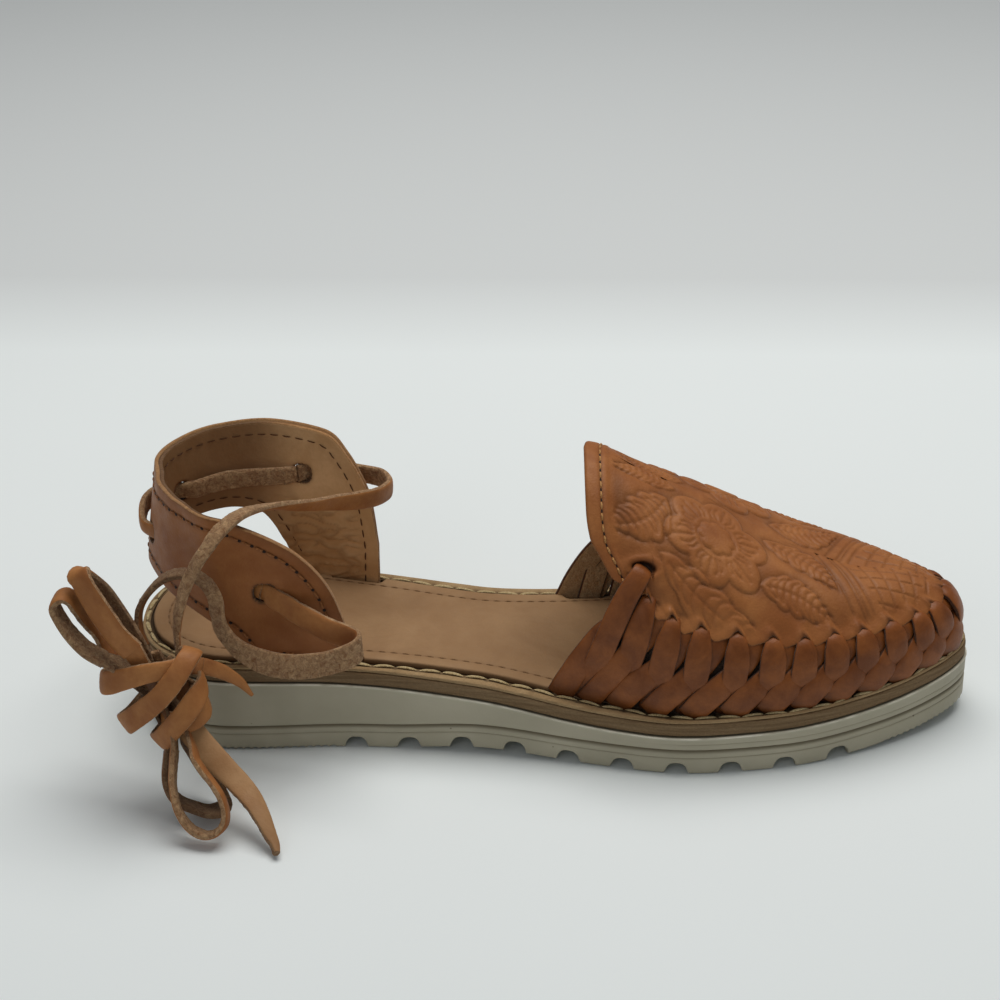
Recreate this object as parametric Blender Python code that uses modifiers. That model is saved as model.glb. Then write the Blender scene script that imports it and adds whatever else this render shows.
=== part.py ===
"""Huarache style sandal with an open heel and an ankle tie, right foot, standing empty on its sole.

The frame has its origin on the ground under the middle of the sole, +X to the toe, +Y to the
medial side and +Z up. Tables and functions are in millimetres; add_mesh scales them to metres.
"""
import math

import bmesh
import bpy
import numpy as np
from mathutils import Matrix, Vector

MM = 0.001
GAP = 0.3

# ---------------------------------------------------------------- sole sizes
LENGTH = 258.0
STATIONS = 44
RIM_STATIONS = 400
HEEL_ROUND = 0.125
TOE_ROUND = 0.26
ROUND_POWER = 2.1

# station along the length, half width on the lateral side, half width on the medial side,
# sideways drift of the middle line
OUTLINE = {
    "station": (0.0, 0.12, 0.28, 0.41, 0.54, 0.66, 0.77, 0.88, 1.0),
    "lateral": (33.5, 33.5, 31.0, 33.0, 38.0, 42.5, 39.0, 33.0, 25.0),
    "medial": (33.0, 33.5, 29.5, 27.0, 35.5, 46.0, 46.5, 42.0, 33.0),
    "drift": (0.0, 0.0, 0.0, 0.0, 0.0, 0.2, 0.4, 0.7, 1.0),
}

# station, height of the tread, height of the outsole's top, width of the ledge outside the upper
SIDE = {
    "station": (0.0, 0.07, 0.20, 0.30, 0.42, 0.58, 0.64, 0.78, 0.90, 1.0),
    "tread": (0.8, 0.0, 0.0, 0.0, 1.9, 0.0, 0.0, 0.0, 1.3, 4.3),
    "deck": (24.4, 24.3, 23.5, 21.9, 18.9, 13.3, 12.8, 13.4, 15.4, 19.1),
    "ledge": (3.8, 4.6, 4.9, 5.2, 6.0, 5.6, 4.6, 3.4, 2.5, 2.6),
}

GROOVE_HEIGHT = 8.0
GROOVE_HALF = 0.7
GROOVE_DEPTH = 0.8
TREAD_BEVEL = 0.9
MIDSOLE_INSET = 0.4
MIDSOLE_EDGE = 0.7
MIDSOLE_THICK = 4.2
WELT_THICK = 0.9
WELT_INSET = 0.9
INSOLE_THICK = 1.9

LUG_FIRST_X = -59.0
LUG_PITCH = 16.3
LUG_COUNT = 10
LUG_RADIUS = 3.0
LUG_CUT_WIDTH = 120.0

# ---------------------------------------------------------------- upper sizes
COLUMNS = 64
THROAT_REACH = 0.08
THROAT_X = 11.0
APEX_X = 88.0
CREST_RUN = 1.75
VAMP_WALL = 2.0
PLAIT_WALL = 3.0
PLAIT_PROUD = 0.5
VAMP_ROWS = 9
PLAIT_ROWS = 5
WELD_DISTANCE = 0.08
SLIVER = 0.01
SEAT_GAP = 0.7
SEAT_CUT = 5.0
PLAIT_SEAT_LONGER = 0.006
BAND_SEAT_LONGER = 1.01
LACE_LINE_GAP = 0.006

# place along the crest, its height, its sideways place, fullness of the section outwards and upwards
CREST = {
    "x": (-2.0, 11.0, 30.0, 50.0, 70.0, 88.0),
    "z": (87.5, 86.5, 78.0, 68.5, 56.5, 49.5),
    "y": (4.3, 4.2, 3.9, 3.6, 2.5, 1.2),
    "out": (2.2, 2.2, 2.1, 2.05, 2.3, 2.7),
    "up": (2.05, 2.05, 2.05, 2.05, 2.2, 2.3),
}

# reach from the rear (0) to the toe tip (1), and where the lacing line runs up the section
LACE_LINE = {
    "reach": (0.0, 0.14, 0.20, 0.27, 0.40, 0.55, 0.77, 0.90, 1.0),
    "rise": (0.42, 0.42, 0.42, 0.345, 0.325, 0.35, 0.375, 0.40, 0.44),
}

# share of the way up each piece, and the reach at which its rear edge starts there
PLAIT_REAR = {"up": (0.0, 0.33, 0.58, 0.80, 1.0), "reach": (0.006, 0.062, 0.112, 0.138, 0.155)}
VAMP_REAR = {"up": (0.0, 0.10, 0.20, 0.37, 1.0), "reach": (0.138, 0.113, 0.092, 0.084, 0.080)}

# ---------------------------------------------------------------- heel band sizes
BAND_WALL = 2.6
BAND_COLUMNS = 60
BAND_ROWS = 6
BAND_LOW_Z = 30.0
BAND_TOP_Z = 80.0
BAND_CLIMB_MOST = 1.1
BAND_AIM = 1.5

# rows from the lateral wing's tip, round the back, to the medial wing's front edge. A place is
# measured round the heel from the back seam, lateral side negative. A height of 0 stands on the sole.
BAND = {
    "low_at": (-83.5, -78, -70, -54, -47, -31, -18, -5, 15, 36, 47, 56, 61, 72, 85.5),
    "low_z": (0, 0, 0, 25, 38, 46.5, 49.5, 52, 52.3, 53, 51.5, 39.5, 27, 0, 0),
    "top_at": (-83.5, -77, -68, -53, -47, -31, -17, -5, 19, 36, 51, 70, 77, 84, 86),
    "top_z": (32, 53.5, 66.5, 76.5, 79, 80, 80, 80, 80, 80.5, 81.7, 79, 72, 57, 41),
}

# place round the heel, and how far the band stands out from the ledge's inner edge, low and high
BAND_LEAN = {
    "at": (-95.0, -85.0, -70.0, -54.0, -45.0, -31.0, -17.0, -5.0, 8.0, 20.0, 36.0, 57.0, 86.0, 95.0),
    "low": (0.0, 0.0, 0.3, 0.0, -0.5, -1.5, -1.5, 0.5, 1.2, 0.8, 0.6, 0.2, 0.2, 0.2),
    "high": (1.0, 1.0, 4.8, 5.0, 3.6, -3.0, -5.5, -5.5, -2.5, 0.0, 3.2, 3.6, 3.5, 3.5),
}

# centre of each lace hole in the band: place round the heel and height, and its size both ways
HOLES = {
    "at": (-58.0, -9.5, 20.0, 62.0),
    "z": (53.0, 62.5, 63.0, 65.0),
    "wide": (12.0, 11.4, 10.8, 11.0),
    "tall": (11.8, 11.4, 10.8, 11.0),
}
HOLE_POWER = 6.0
HOLE_SIDES = 16
HOLE_REACH = 4.0

# ---------------------------------------------------------------- ankle tie sizes
LACE_WIDE = 7.5
LACE_THICK = 2.0

# the strand through the heel band: place round the heel, height, and distance out from the band's face
THREAD = {
    "at": (-66, -62.5, -58, -53.5, -50, -38, -18.5, -14, -9.5, -5, -0.5, 5, 11, 15.5, 20, 24.5, 29, 42, 54, 57.5,
           62, 66.5, 70),
    "z": (48.6, 50.2, 52.4, 54.0, 55, 58, 61, 62, 62.5, 63, 63.5, 64.3, 64, 63.5, 63, 62.8, 62.8, 63.6, 64.6,
          64.8, 65, 65, 64.6),
    "out": (2.0, 1.4, -1.3, -4.0, -4.6, -4.6, -4.6, -4.4, -1.3, 1.8, 2.4, 2.5, 2.2, 1.5, -1.3, -4.0, -4.6,
            -4.6, -4.6, -4.0, -1.3, 1.4, 2.0),
}

# each free strand: x, y, z of its middle line, then the way its smooth grain side faces
LATERAL_RUN = (
    (-75.0, -33.0, 48.0, 0.0, -1.0, 0.1), (-70.0, -35.5, 46.5, 0.1, -1.0, 0.1),
    (-65.0, -38.0, 45.0, 0.1, -1.0, 0.1), (-60.0, -39.5, 44.0, -0.2, -1.0, 0.1),
    (-56.5, -40.5, 43.0, -0.6, -0.8, 0.1), (-55.0, -42.5, 42.5, -1.0, 0.0, 0.0),
    (-56.0, -45.0, 41.5, -0.6, 0.8, -0.1), (-60.0, -46.5, 40.0, -0.1, 1.0, -0.2),
    (-66.5, -46.5, 38.0, 0.0, 1.0, -0.3), (-75.5, -45.5, 36.5, 0.0, 1.0, -0.3),
    (-83.5, -44.5, 37.5, 0.1, 1.0, -0.2), (-90.5, -43.0, 40.5, 0.3, 1.0, -0.2),
    (-95.5, -40.5, 45.0, 0.6, 0.9, 0.0), (-97.0, -39.5, 50.0, 0.9, 0.5, 0.0),
    (-97.5, -39.0, 56.0, 0.9, 0.3, 0.3), (-100.0, -39.5, 61.5, 0.5, 0.2, 0.8),
    (-105.0, -40.0, 64.5, -0.1, 0.2, 1.0), (-111.0, -40.5, 63.5, -0.5, 0.2, 0.8),
    (-116.0, -42.0, 59.5, -0.8, 0.2, 0.5), (-119.0, -44.0, 54.5, -1.0, 0.1, 0.2),
    (-119.0, -46.5, 49.5, -1.0, 0.1, 0.0), (-117.0, -49.5, 45.5, -0.9, 0.1, -0.3),
)
MEDIAL_RUN = (
    (-70.5, 28.0, 64.5, 0.0, 1.0, 0.1), (-65.0, 29.0, 63.5, 0.1, 1.0, 0.1),
    (-59.5, 30.0, 62.0, 0.3, 1.0, 0.1), (-55.0, 28.5, 61.5, 0.8, 0.6, 0.0),
    (-52.5, 25.0, 61.0, 1.0, 0.0, 0.0), (-52.5, 20.0, 61.5, 1.0, -0.4, -0.1),
    (-55.5, 13.5, 62.5, 0.8, -0.7, -0.2), (-61.5, 7.0, 64.5, 0.7, -0.8, -0.3),
    (-67.0, 1.0, 67.0, 0.6, -0.8, -0.4), (-73.5, -8.5, 71.0, 0.5, -0.7, -0.6),
    (-79.5, -17.5, 75.5, 0.4, -0.3, -0.9), (-84.0, -24.5, 78.5, 0.3, 0.0, -1.0),
    (-88.0, -31.5, 80.5, 0.3, 0.3, -1.0), (-91.0, -36.5, 80.5, 0.3, 0.5, -0.8),
    (-94.5, -41.0, 78.5, 0.2, 0.8, -0.6), (-97.0, -43.5, 75.5, 0.3, 0.9, -0.4),
    (-100.0, -45.5, 71.5, 0.4, 0.9, -0.2), (-103.5, -47.0, 65.0, 0.5, 0.9, -0.1),
    (-106.0, -49.0, 57.5, 0.7, 0.7, -0.1), (-107.0, -50.5, 51.5, 0.9, 0.5, -0.1),
)
LOOP_LONG = (
    (-117.5, -61.5, 51.0, -0.3, -0.9, 0.3), (-121.5, -61.0, 55.5, -0.3, -0.9, 0.3),
    (-125.5, -60.5, 62.5, -0.3, -0.9, 0.3), (-129.0, -59.5, 69.0, -0.4, -0.9, 0.3),
    (-131.0, -58.0, 72.5, -0.6, -0.7, 0.5), (-132.0, -56.0, 73.5, -0.4, -0.1, 0.9),
    (-130.5, -54.0, 72.5, 0.3, 0.5, 0.8), (-127.5, -52.5, 66.5, 0.3, 0.9, 0.3),
    (-124.5, -52.0, 60.5, 0.3, 0.9, 0.3), (-121.5, -52.5, 54.5, 0.3, 0.9, 0.2),
    (-118.5, -54.0, 49.5, 0.3, 0.9, 0.2),
)
LOOP_SHORT = (
    (-126.0, -61.5, 48.0, -0.5, 0.0, -0.8), (-131.0, -61.5, 51.5, -0.6, 0.0, -0.8),
    (-135.5, -60.5, 56.5, -0.8, 0.0, -0.5), (-138.5, -59.0, 61.0, -0.9, 0.0, -0.3),
    (-139.5, -58.5, 64.0, -1.0, 0.0, 0.2), (-138.0, -58.0, 66.5, -0.4, 0.0, 0.9),
    (-135.5, -57.0, 66.0, 0.7, 0.0, 0.7), (-134.0, -56.0, 63.0, 0.9, 0.0, 0.3),
    (-133.0, -53.0, 58.0, 1.0, 0.0, 0.2), (-131.0, -49.0, 50.5, 0.9, 0.0, 0.3),
    (-129.5, -47.5, 43.5, 0.9, 0.0, 0.4), (-127.5, -47.5, 40.0, 0.8, 0.0, 0.6),
)
LOOP_THIN = (
    (-106.5, -69.0, 22.5, -1.0, 0.0, 0.0), (-106.5, -72.0, 19.5, -1.0, 0.0, 0.0),
    (-106.5, -75.0, 16.0, -1.0, -0.1, -0.1), (-105.5, -78.5, 12.5, -1.0, -0.1, -0.1),
    (-104.0, -81.0, 9.0, -0.9, -0.2, -0.3), (-101.0, -83.0, 5.5, -0.6, -0.3, -0.7),
    (-97.0, -84.5, 4.0, -0.1, -0.3, -1.0), (-93.5, -84.5, 4.5, 0.5, -0.3, -0.8),
    (-91.0, -83.0, 6.5, 0.9, -0.2, -0.3), (-90.5, -81.5, 10.0, 1.0, 0.0, 0.0),
    (-92.0, -79.5, 14.0, 0.9, 0.2, 0.3), (-94.5, -77.5, 17.0, 0.8, 0.3, 0.5),
    (-97.5, -75.5, 20.0, 0.8, 0.3, 0.5), (-99.5, -74.0, 22.5, 0.8, 0.3, 0.5),
)
LOOP_DARK = (
    (-110.0, -64.0, 18.5, -1.0, -0.2, -0.1), (-110.5, -66.5, 13.0, -1.0, -0.2, -0.1),
    (-109.5, -69.0, 9.0, -0.9, -0.2, -0.3), (-106.5, -71.0, 6.0, -0.5, -0.3, -0.8),
    (-102.0, -72.0, 4.5, -0.1, -0.3, -1.0), (-97.5, -72.5, 3.5, 0.1, -0.2, -1.0),
    (-93.5, -71.5, 4.0, 0.6, 0.1, -0.7), (-93.0, -69.5, 5.5, 0.9, 0.4, 0.0),
    (-95.0, -66.5, 8.0, 0.7, 0.6, 0.3), (-98.5, -64.0, 10.5, 0.6, 0.7, 0.3),
    (-101.5, -61.5, 13.5, 0.5, 0.8, 0.3), (-104.0, -59.5, 16.5, 0.5, 0.8, 0.3),
)
TAIL_LONG = (
    (-103.0, -63.0, 25.5, 0.4, -0.8, 0.4), (-99.5, -65.0, 22.0, 0.4, -0.8, 0.4),
    (-96.0, -67.0, 19.0, 0.4, -0.8, 0.4), (-92.0, -69.5, 16.0, 0.4, -0.8, 0.4),
    (-87.5, -72.5, 13.0, 0.5, -0.7, 0.5), (-83.5, -76.0, 10.0, 0.6, -0.6, 0.5),
    (-80.5, -80.0, 7.5, 0.6, -0.6, 0.5), (-78.0, -84.0, 5.0, 0.6, -0.5, 0.6),
    (-76.0, -87.0, 3.0, 0.6, -0.4, 0.7), (-75.0, -90.0, 2.0, 0.5, -0.2, 0.8),
)
TAIL_SHORT = (
    (-100.0, -53.0, 41.0, 0.3, -0.8, 0.6), (-96.5, -51.5, 39.0, 0.3, -0.8, 0.6),
    (-93.5, -50.0, 36.5, 0.3, -0.8, 0.5), (-90.0, -49.0, 33.0, 0.3, -0.8, 0.5),
    (-87.0, -48.5, 28.5, 0.3, -0.9, 0.4),
)

TAIL_TIP = 0.25

KNOT_CENTRE = (-112.5, -58.0, 33.2)
KNOT_AXIS = (12.0, -9.0, -26.5)
KNOT_RADII = (11.0, 7.5, 13.5)

# ---------------------------------------------------------------- colours: red, green, blue, roughness
COLOURS = {
    "outsole": (0.72, 0.70, 0.62, 0.55),
    "midsole": (0.40, 0.31, 0.21, 0.75),
    "welt_strip": (0.60, 0.52, 0.38, 0.80),
    "insole": (0.62, 0.43, 0.28, 0.70),
    "vamp": (0.50, 0.22, 0.09, 0.45),
    "plaited_wall": (0.42, 0.17, 0.06, 0.45),
    "heel_band": (0.52, 0.26, 0.12, 0.50),
    "ankle_tie": (0.60, 0.32, 0.16, 0.65),
}


def curve(table, key, column, at):
    """Monotone cubic through a table's column, so that no section bulges past its neighbours."""
    xs = np.asarray(table[key], float)
    ys = np.asarray(table[column], float)
    at = np.clip(np.asarray(at, float), xs[0], xs[-1])
    steps = np.diff(xs)
    slopes = np.diff(ys) / steps
    tangents = np.empty(len(xs))
    tangents[0], tangents[-1] = slopes[0], slopes[-1]
    for i in range(1, len(xs) - 1):
        before, after = slopes[i - 1], slopes[i]
        if before * after <= 0:
            tangents[i] = 0.0
        else:
            near = 2 * steps[i] + steps[i - 1]
            far = steps[i] + 2 * steps[i - 1]
            tangents[i] = (near + far) / (near / before + far / after)
    i = np.clip(np.searchsorted(xs, at, side="right") - 1, 0, len(steps) - 1)
    t = (at - xs[i]) / steps[i]
    return ((1 + 2 * t) * (1 - t) ** 2 * ys[i] + t * (1 - t) ** 2 * steps[i] * tangents[i]
            + t * t * (3 - 2 * t) * ys[i + 1] + t * t * (t - 1) * steps[i] * tangents[i + 1])


# ---------------------------------------------------------------- sole outline

def side_points(side, count):
    """Outline of one side from heel to toe, crowded towards the round ends."""
    s = (1 - np.cos(np.linspace(0, math.pi, count + 1))) / 2
    heel = np.clip((HEEL_ROUND - s) / HEEL_ROUND, 0, 1)
    toe = np.clip((s - 1 + TOE_ROUND) / TOE_ROUND, 0, 1)
    closing = (1 - np.maximum(heel, toe) ** ROUND_POWER) ** (1 / ROUND_POWER)
    sign = -1 if side == "lateral" else 1
    y = curve(OUTLINE, "station", "drift", s) + sign * curve(OUTLINE, "station", side, s) * closing
    return np.column_stack([(s - 0.5) * LENGTH, y])


def outline_ring(count=STATIONS):
    """Closed outline: heel, lateral side, toe, medial side, centred across its own width."""
    lateral, medial = side_points("lateral", count), side_points("medial", count)
    ring = np.vstack([lateral, medial[-2:0:-1]])
    ring[:, 1] -= (ring[:, 1].min() + ring[:, 1].max()) / 2
    return ring


def inward(ring, distance):
    """The ring moved inwards by a distance, which may differ from point to point."""
    along = np.roll(ring, -1, axis=0) - np.roll(ring, 1, axis=0)
    along /= np.linalg.norm(along, axis=1)[:, None]
    normal = np.column_stack([-along[:, 1], along[:, 0]])
    return ring + normal * np.broadcast_to(distance, len(ring))[:, None]


def side_height(column, x):
    return curve(SIDE, "station", column, np.asarray(x) / LENGTH + 0.5)


def deck_height(x):
    """Top of the outsole."""
    return side_height("deck", x)


def seat_height(x):
    """Top of the midsole, on which insole, welt and upper sit."""
    return deck_height(x) + GAP / 2 + MIDSOLE_THICK


RIM = outline_ring(RIM_STATIONS)
FEATHER = inward(RIM, side_height("ledge", RIM[:, 0]))


def measured(points):
    """Distances along a line of points, from its first point."""
    return np.concatenate([[0], np.cumsum(np.linalg.norm(np.diff(points, axis=0), axis=1))])


def at_lengths(points, lengths):
    """Points at the given lengths along a line, with any number of coordinates."""
    along = measured(points)
    return np.column_stack([np.interp(lengths, along, points[:, i]) for i in range(points.shape[1])])


# ---------------------------------------------------------------- meshes

def material(name):
    red, green, blue, roughness = COLOURS[name]
    made = bpy.data.materials.new(name)
    made.use_nodes = True
    shader = made.node_tree.nodes["Principled BSDF"]
    shader.inputs["Base Color"].default_value = (red, green, blue, 1.0)
    shader.inputs["Roughness"].default_value = roughness
    shader.inputs["Metallic"].default_value = 0.0
    return made


def add_mesh(name, points, faces, colour, collection):
    """A mesh object from points in millimetres."""
    mesh = bpy.data.meshes.new(name)
    mesh.from_pydata([Vector(p) * MM for p in np.asarray(points).tolist()], [], faces)
    mesh.materials.append(material(colour))
    made = bpy.data.objects.new(name, mesh)
    collection.objects.link(made)
    mesh.shade_smooth()
    mesh.set_sharp_from_angle(angle=math.radians(40))
    return made


def cutter(made):
    made.hide_render = True
    made.display_type = "WIRE"
    return made


def cut(target, tool):
    boolean = target.modifiers.new("cut_" + tool.name, "BOOLEAN")
    boolean.operation = "DIFFERENCE"
    boolean.solver = "EXACT"
    boolean.object = tool


def thicken(target, wall, proud=0.0):
    """Give an open sheet its wall: most of it inwards, a little outwards."""
    solid = target.modifiers.new("wall", "SOLIDIFY")
    solid.thickness = wall * MM
    solid.offset = 2 * proud / wall - 1
    solid.use_even_offset = False


def rings_to_faces(size, count, closed=False):
    """Side faces between rings of equal size, each ring following the last."""
    faces = []
    for r in range(count if closed else count - 1):
        low, high = r * size, ((r + 1) % count) * size
        for i in range(size):
            j = (i + 1) % size
            faces.append((low + i, low + j, high + j, high + i))
    return faces


def ladder_faces(first, size, up):
    """A cap over an outline ring, made of rungs between its lateral and medial points."""
    half = size // 2
    faces = [(first, first + 1, first + size - 1)]
    faces += [(first + i, first + i + 1, first + size - i - 1, first + size - i) for i in range(1, half - 1)]
    faces.append((first + half - 1, first + half, first + half + 1))
    return faces if up else [face[::-1] for face in faces]


def slab(name, levels, colour, collection):
    """A solid through outline rings, lowest first, with a cap at each end."""
    size = len(levels[0])
    faces = rings_to_faces(size, len(levels))
    faces += ladder_faces(0, size, up=False)
    faces += ladder_faces((len(levels) - 1) * size, size, up=True)
    return add_mesh(name, np.vstack(levels), faces, colour, collection)


def level(inset, height):
    """One ring of the outline moved inwards, at a height that follows its place along the sole."""
    ring = inward(outline_ring(), inset)
    return np.column_stack([ring, height(ring[:, 0])])


def grid_faces(rows, columns, flip=False):
    faces = []
    for r in range(rows):
        for c in range(columns):
            low = r * (columns + 1) + c
            high = low + columns + 1
            face = (low, low + 1, high + 1, high)
            faces.append(face[::-1] if flip else face)
    return faces


# ---------------------------------------------------------------- sole pieces

def outsole(collection, cutters):
    def tread(x):
        return side_height("tread", x)

    def top(x):
        return deck_height(x) - GAP / 2

    levels = [
        level(TREAD_BEVEL, tread),
        level(0.0, lambda x: tread(x) + TREAD_BEVEL),
        level(0.0, lambda x: tread(x) + GROOVE_HEIGHT - GROOVE_HALF),
        level(GROOVE_DEPTH, lambda x: tread(x) + GROOVE_HEIGHT),
        level(0.0, lambda x: tread(x) + GROOVE_HEIGHT + GROOVE_HALF),
        level(0.0, top),
    ]
    made = slab("outsole", levels, "outsole", collection)
    cut(made, lug_cutter(cutters))
    return made


def lug_cutter(cutters):
    """Half round notches across the tread, each centred on the tread's own height."""
    shape = bmesh.new()
    for number in range(LUG_COUNT):
        x = LUG_FIRST_X + number * LUG_PITCH
        place = Matrix.Translation(Vector((x, 0, float(side_height("tread", x)))) * MM)
        turn = Matrix.Rotation(math.pi / 2, 4, "X")
        bmesh.ops.create_cone(shape, cap_ends=True, segments=12, radius1=LUG_RADIUS * MM,
                              radius2=LUG_RADIUS * MM, depth=LUG_CUT_WIDTH * MM, matrix=place @ turn)
    mesh = bpy.data.meshes.new("lug_notches")
    shape.to_mesh(mesh)
    shape.free()
    made = bpy.data.objects.new("lug_notches", mesh)
    cutters.objects.link(made)
    return cutter(made)


def midsole(collection):
    def low(x):
        return deck_height(x) + GAP / 2

    levels = [
        level(MIDSOLE_INSET + MIDSOLE_EDGE, low),
        level(MIDSOLE_INSET, lambda x: low(x) + MIDSOLE_EDGE),
        level(MIDSOLE_INSET, lambda x: seat_height(x) - MIDSOLE_EDGE),
        level(MIDSOLE_INSET + MIDSOLE_EDGE, seat_height),
    ]
    return slab("midsole", levels, "midsole", collection)


def ledge_ring(extra):
    """The inset of the ledge's inner edge at each outline point, plus a margin."""
    return side_height("ledge", outline_ring()[:, 0]) + extra


def welt_strip(collection):
    """Flat strip that is stitched round the ledge, outside the upper and the insole."""
    def low(x):
        return seat_height(x) + GAP

    def high(x):
        return low(x) + WELT_THICK

    inner = ledge_ring(-PLAIT_PROUD - GAP)
    rings = [level(WELT_INSET, low), level(WELT_INSET, high), level(inner, high), level(inner, low)]
    faces = rings_to_faces(len(rings[0]), len(rings), closed=True)
    return add_mesh("welt_strip", np.vstack(rings), faces, "welt_strip", collection)


def insole(collection, tools):
    inset = ledge_ring(GAP)
    levels = [level(inset, lambda x: seat_height(x) + GAP),
              level(inset, lambda x: seat_height(x) + GAP + INSOLE_THICK)]
    made = slab("insole", levels, "insole", collection)
    for tool in tools:
        cut(made, tool)
    return made


# ---------------------------------------------------------------- upper

def feather_side(side, reach):
    """Points on the ledge's inner edge from the upper's rear (0) to the toe tip (1)."""
    half = len(FEATHER) // 2
    line = FEATHER[:half + 1] if side == "lateral" else np.vstack([FEATHER[half:], FEATHER[:1]])[::-1]
    line = line[np.searchsorted(line[:, 0], 0.0):]
    return at_lengths(line, np.asarray(reach) * measured(line)[-1])


def section_point(side, reach, rise):
    """A point of the upper's outer face: rise 0 is on the sole, 1 is on the crest.

    A section that leaves the crest forwards starts with the crest's own fall, so the top is smooth.
    """
    foot = feather_side(side, reach)
    run = 1 - (1 - (reach - THROAT_REACH) / (1 - THROAT_REACH)) ** CREST_RUN
    x = np.minimum(THROAT_X + (APEX_X - THROAT_X) * run, APEX_X)
    y = curve(CREST, "x", "y", x) + outline_shift()
    out, up = curve(CREST, "x", "out", x), curve(CREST, "x", "up", x)
    seat = seat_height(foot[:, 0]) + SEAT_GAP
    angle = rise * math.pi / 2
    across = np.clip(np.cos(angle), 0, 1) ** (2 / out)
    lift = np.sin(angle) ** (2 / up)
    crest = curve(CREST, "x", "z", x)
    fall = (curve(CREST, "x", "z", x - 1) - crest) * (foot[:, 0] - x) * across * (1 - across) ** 3
    return np.column_stack([
        x + (foot[:, 0] - x) * across,
        y + (foot[:, 1] - y) * across,
        seat + (crest - seat) * lift - fall,
    ])


def outline_shift():
    """Distance from the heel's middle line to the middle of the whole outline."""
    lateral, medial = side_points("lateral", STATIONS), side_points("medial", STATIONS)
    return -(lateral[:, 1].min() + medial[:, 1].max()) / 2


def upper_grid(rows, rear, low, high):
    """Rows of points round the toe, from the lateral rear to the medial rear."""
    half = COLUMNS // 2
    share = np.arange(half + 1) / half
    points = []
    for row in range(rows + 1):
        part = row / rows
        start = float(curve(rear, "up", "reach", part))
        reach = start + (1 - start) * share
        rise = low(reach) + (high(reach) - low(reach)) * part
        lateral = section_point("lateral", reach, rise)
        medial = section_point("medial", reach, rise)
        points.append(np.vstack([lateral, medial[-2::-1]]))
    return points


def lace_rise(reach):
    return curve(LACE_LINE, "reach", "rise", reach)


def vamp(collection):
    """Toe piece, one sheet over the foot from lacing line to lacing line."""
    points = upper_grid(VAMP_ROWS, VAMP_REAR, lambda r: lace_rise(r) + LACE_LINE_GAP, lambda r: r * 0 + 1.0)
    made = add_mesh("vamp", np.vstack(points), grid_faces(VAMP_ROWS, COLUMNS), "vamp", collection)
    weld(made)
    thicken(made, VAMP_WALL)
    return made


def plait_sheet(name, collection, low=0.0, longer=0.0):
    rear = {"up": PLAIT_REAR["up"], "reach": np.asarray(PLAIT_REAR["reach"]) - longer}
    points = upper_grid(PLAIT_ROWS, rear, lambda r: r * 0, lambda r: lace_rise(r) - LACE_LINE_GAP)
    points = lengthen(points, low)
    return add_mesh(name, np.vstack(points), grid_faces(len(points) - 1, COLUMNS), "plaited_wall", collection)


def lengthen(points, low):
    """The rows of a sheet, with one more row straight below the first where a cutter needs it."""
    return [points[0] - np.array((0.0, 0.0, low))] + points if low else points


def plaited_wall(collection):
    """The close plait of strips between the sole and the vamp, as one wall."""
    made = plait_sheet("plaited_wall", collection)
    thicken(made, PLAIT_WALL, PLAIT_PROUD)
    return made


def weld(made):
    """Joins the points that meet where the two sides run into the crest."""
    shape = bmesh.new()
    shape.from_mesh(made.data)
    bmesh.ops.remove_doubles(shape, verts=shape.verts, dist=WELD_DISTANCE * MM)
    bmesh.ops.dissolve_degenerate(shape, dist=SLIVER * MM, edges=shape.edges)
    shape.to_mesh(made.data)
    shape.free()


# ---------------------------------------------------------------- heel band

def heel_line():
    """The ledge's inner edge round the heel and its distances from the back, lateral side negative."""
    half = len(FEATHER) // 2
    lateral, medial = FEATHER[:half], np.roll(FEATHER, -1, axis=0)[::-1][:half]
    line = np.vstack([lateral[::-1], medial[1:]])
    return line, np.concatenate([-measured(lateral)[::-1], measured(medial)[1:]])


HEEL_LINE, HEEL_AT = heel_line()


def band_point(at, z, out=0.0):
    """A point of the band's outer face, or out from it, at a place round the heel and a height."""
    at = np.asarray(at, float)
    x, y = (np.interp(at, HEEL_AT, HEEL_LINE[:, i]) for i in (0, 1))
    ahead, behind = ([np.interp(at + d, HEEL_AT, HEEL_LINE[:, i]) for i in (0, 1)] for d in (BAND_AIM, -BAND_AIM))
    along = np.column_stack([ahead[0] - behind[0], ahead[1] - behind[1]])
    along /= np.linalg.norm(along, axis=1)[:, None]
    climb = np.clip((np.asarray(z) - BAND_LOW_Z) / (BAND_TOP_Z - BAND_LOW_Z), 0, BAND_CLIMB_MOST) ** 2
    low, high = curve(BAND_LEAN, "at", "low", at), curve(BAND_LEAN, "at", "high", at)
    away = low + (high - low) * climb + out
    return np.column_stack([x - along[:, 1] * away, y + along[:, 0] * away, np.broadcast_to(z, at.shape)])


def band_sheet(name, collection, low=0.0, longer=1.0):
    """The band's outer face, from its lateral wing round the back to its medial wing."""
    row = {"row": np.arange(len(BAND["low_at"])), **BAND}
    share = np.linspace(0, len(BAND["low_at"]) - 1, BAND_COLUMNS + 1)
    low_at, low_z, top_at, top_z = (curve(row, "row", k, share) for k in ("low_at", "low_z", "top_at", "top_z"))
    low_at, top_at = low_at * longer, top_at * longer
    seat = seat_height(np.interp(low_at, HEEL_AT, HEEL_LINE[:, 0])) + SEAT_GAP
    low_z = np.maximum(low_z, seat)
    points = [band_point(low_at + (top_at - low_at) * v, low_z + (top_z - low_z) * v)
              for v in np.linspace(0, 1, BAND_ROWS + 1)]
    points = lengthen(points, low)
    faces = grid_faces(len(points) - 1, BAND_COLUMNS, flip=True)
    return add_mesh(name, np.vstack(points), faces, "heel_band", collection)


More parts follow.
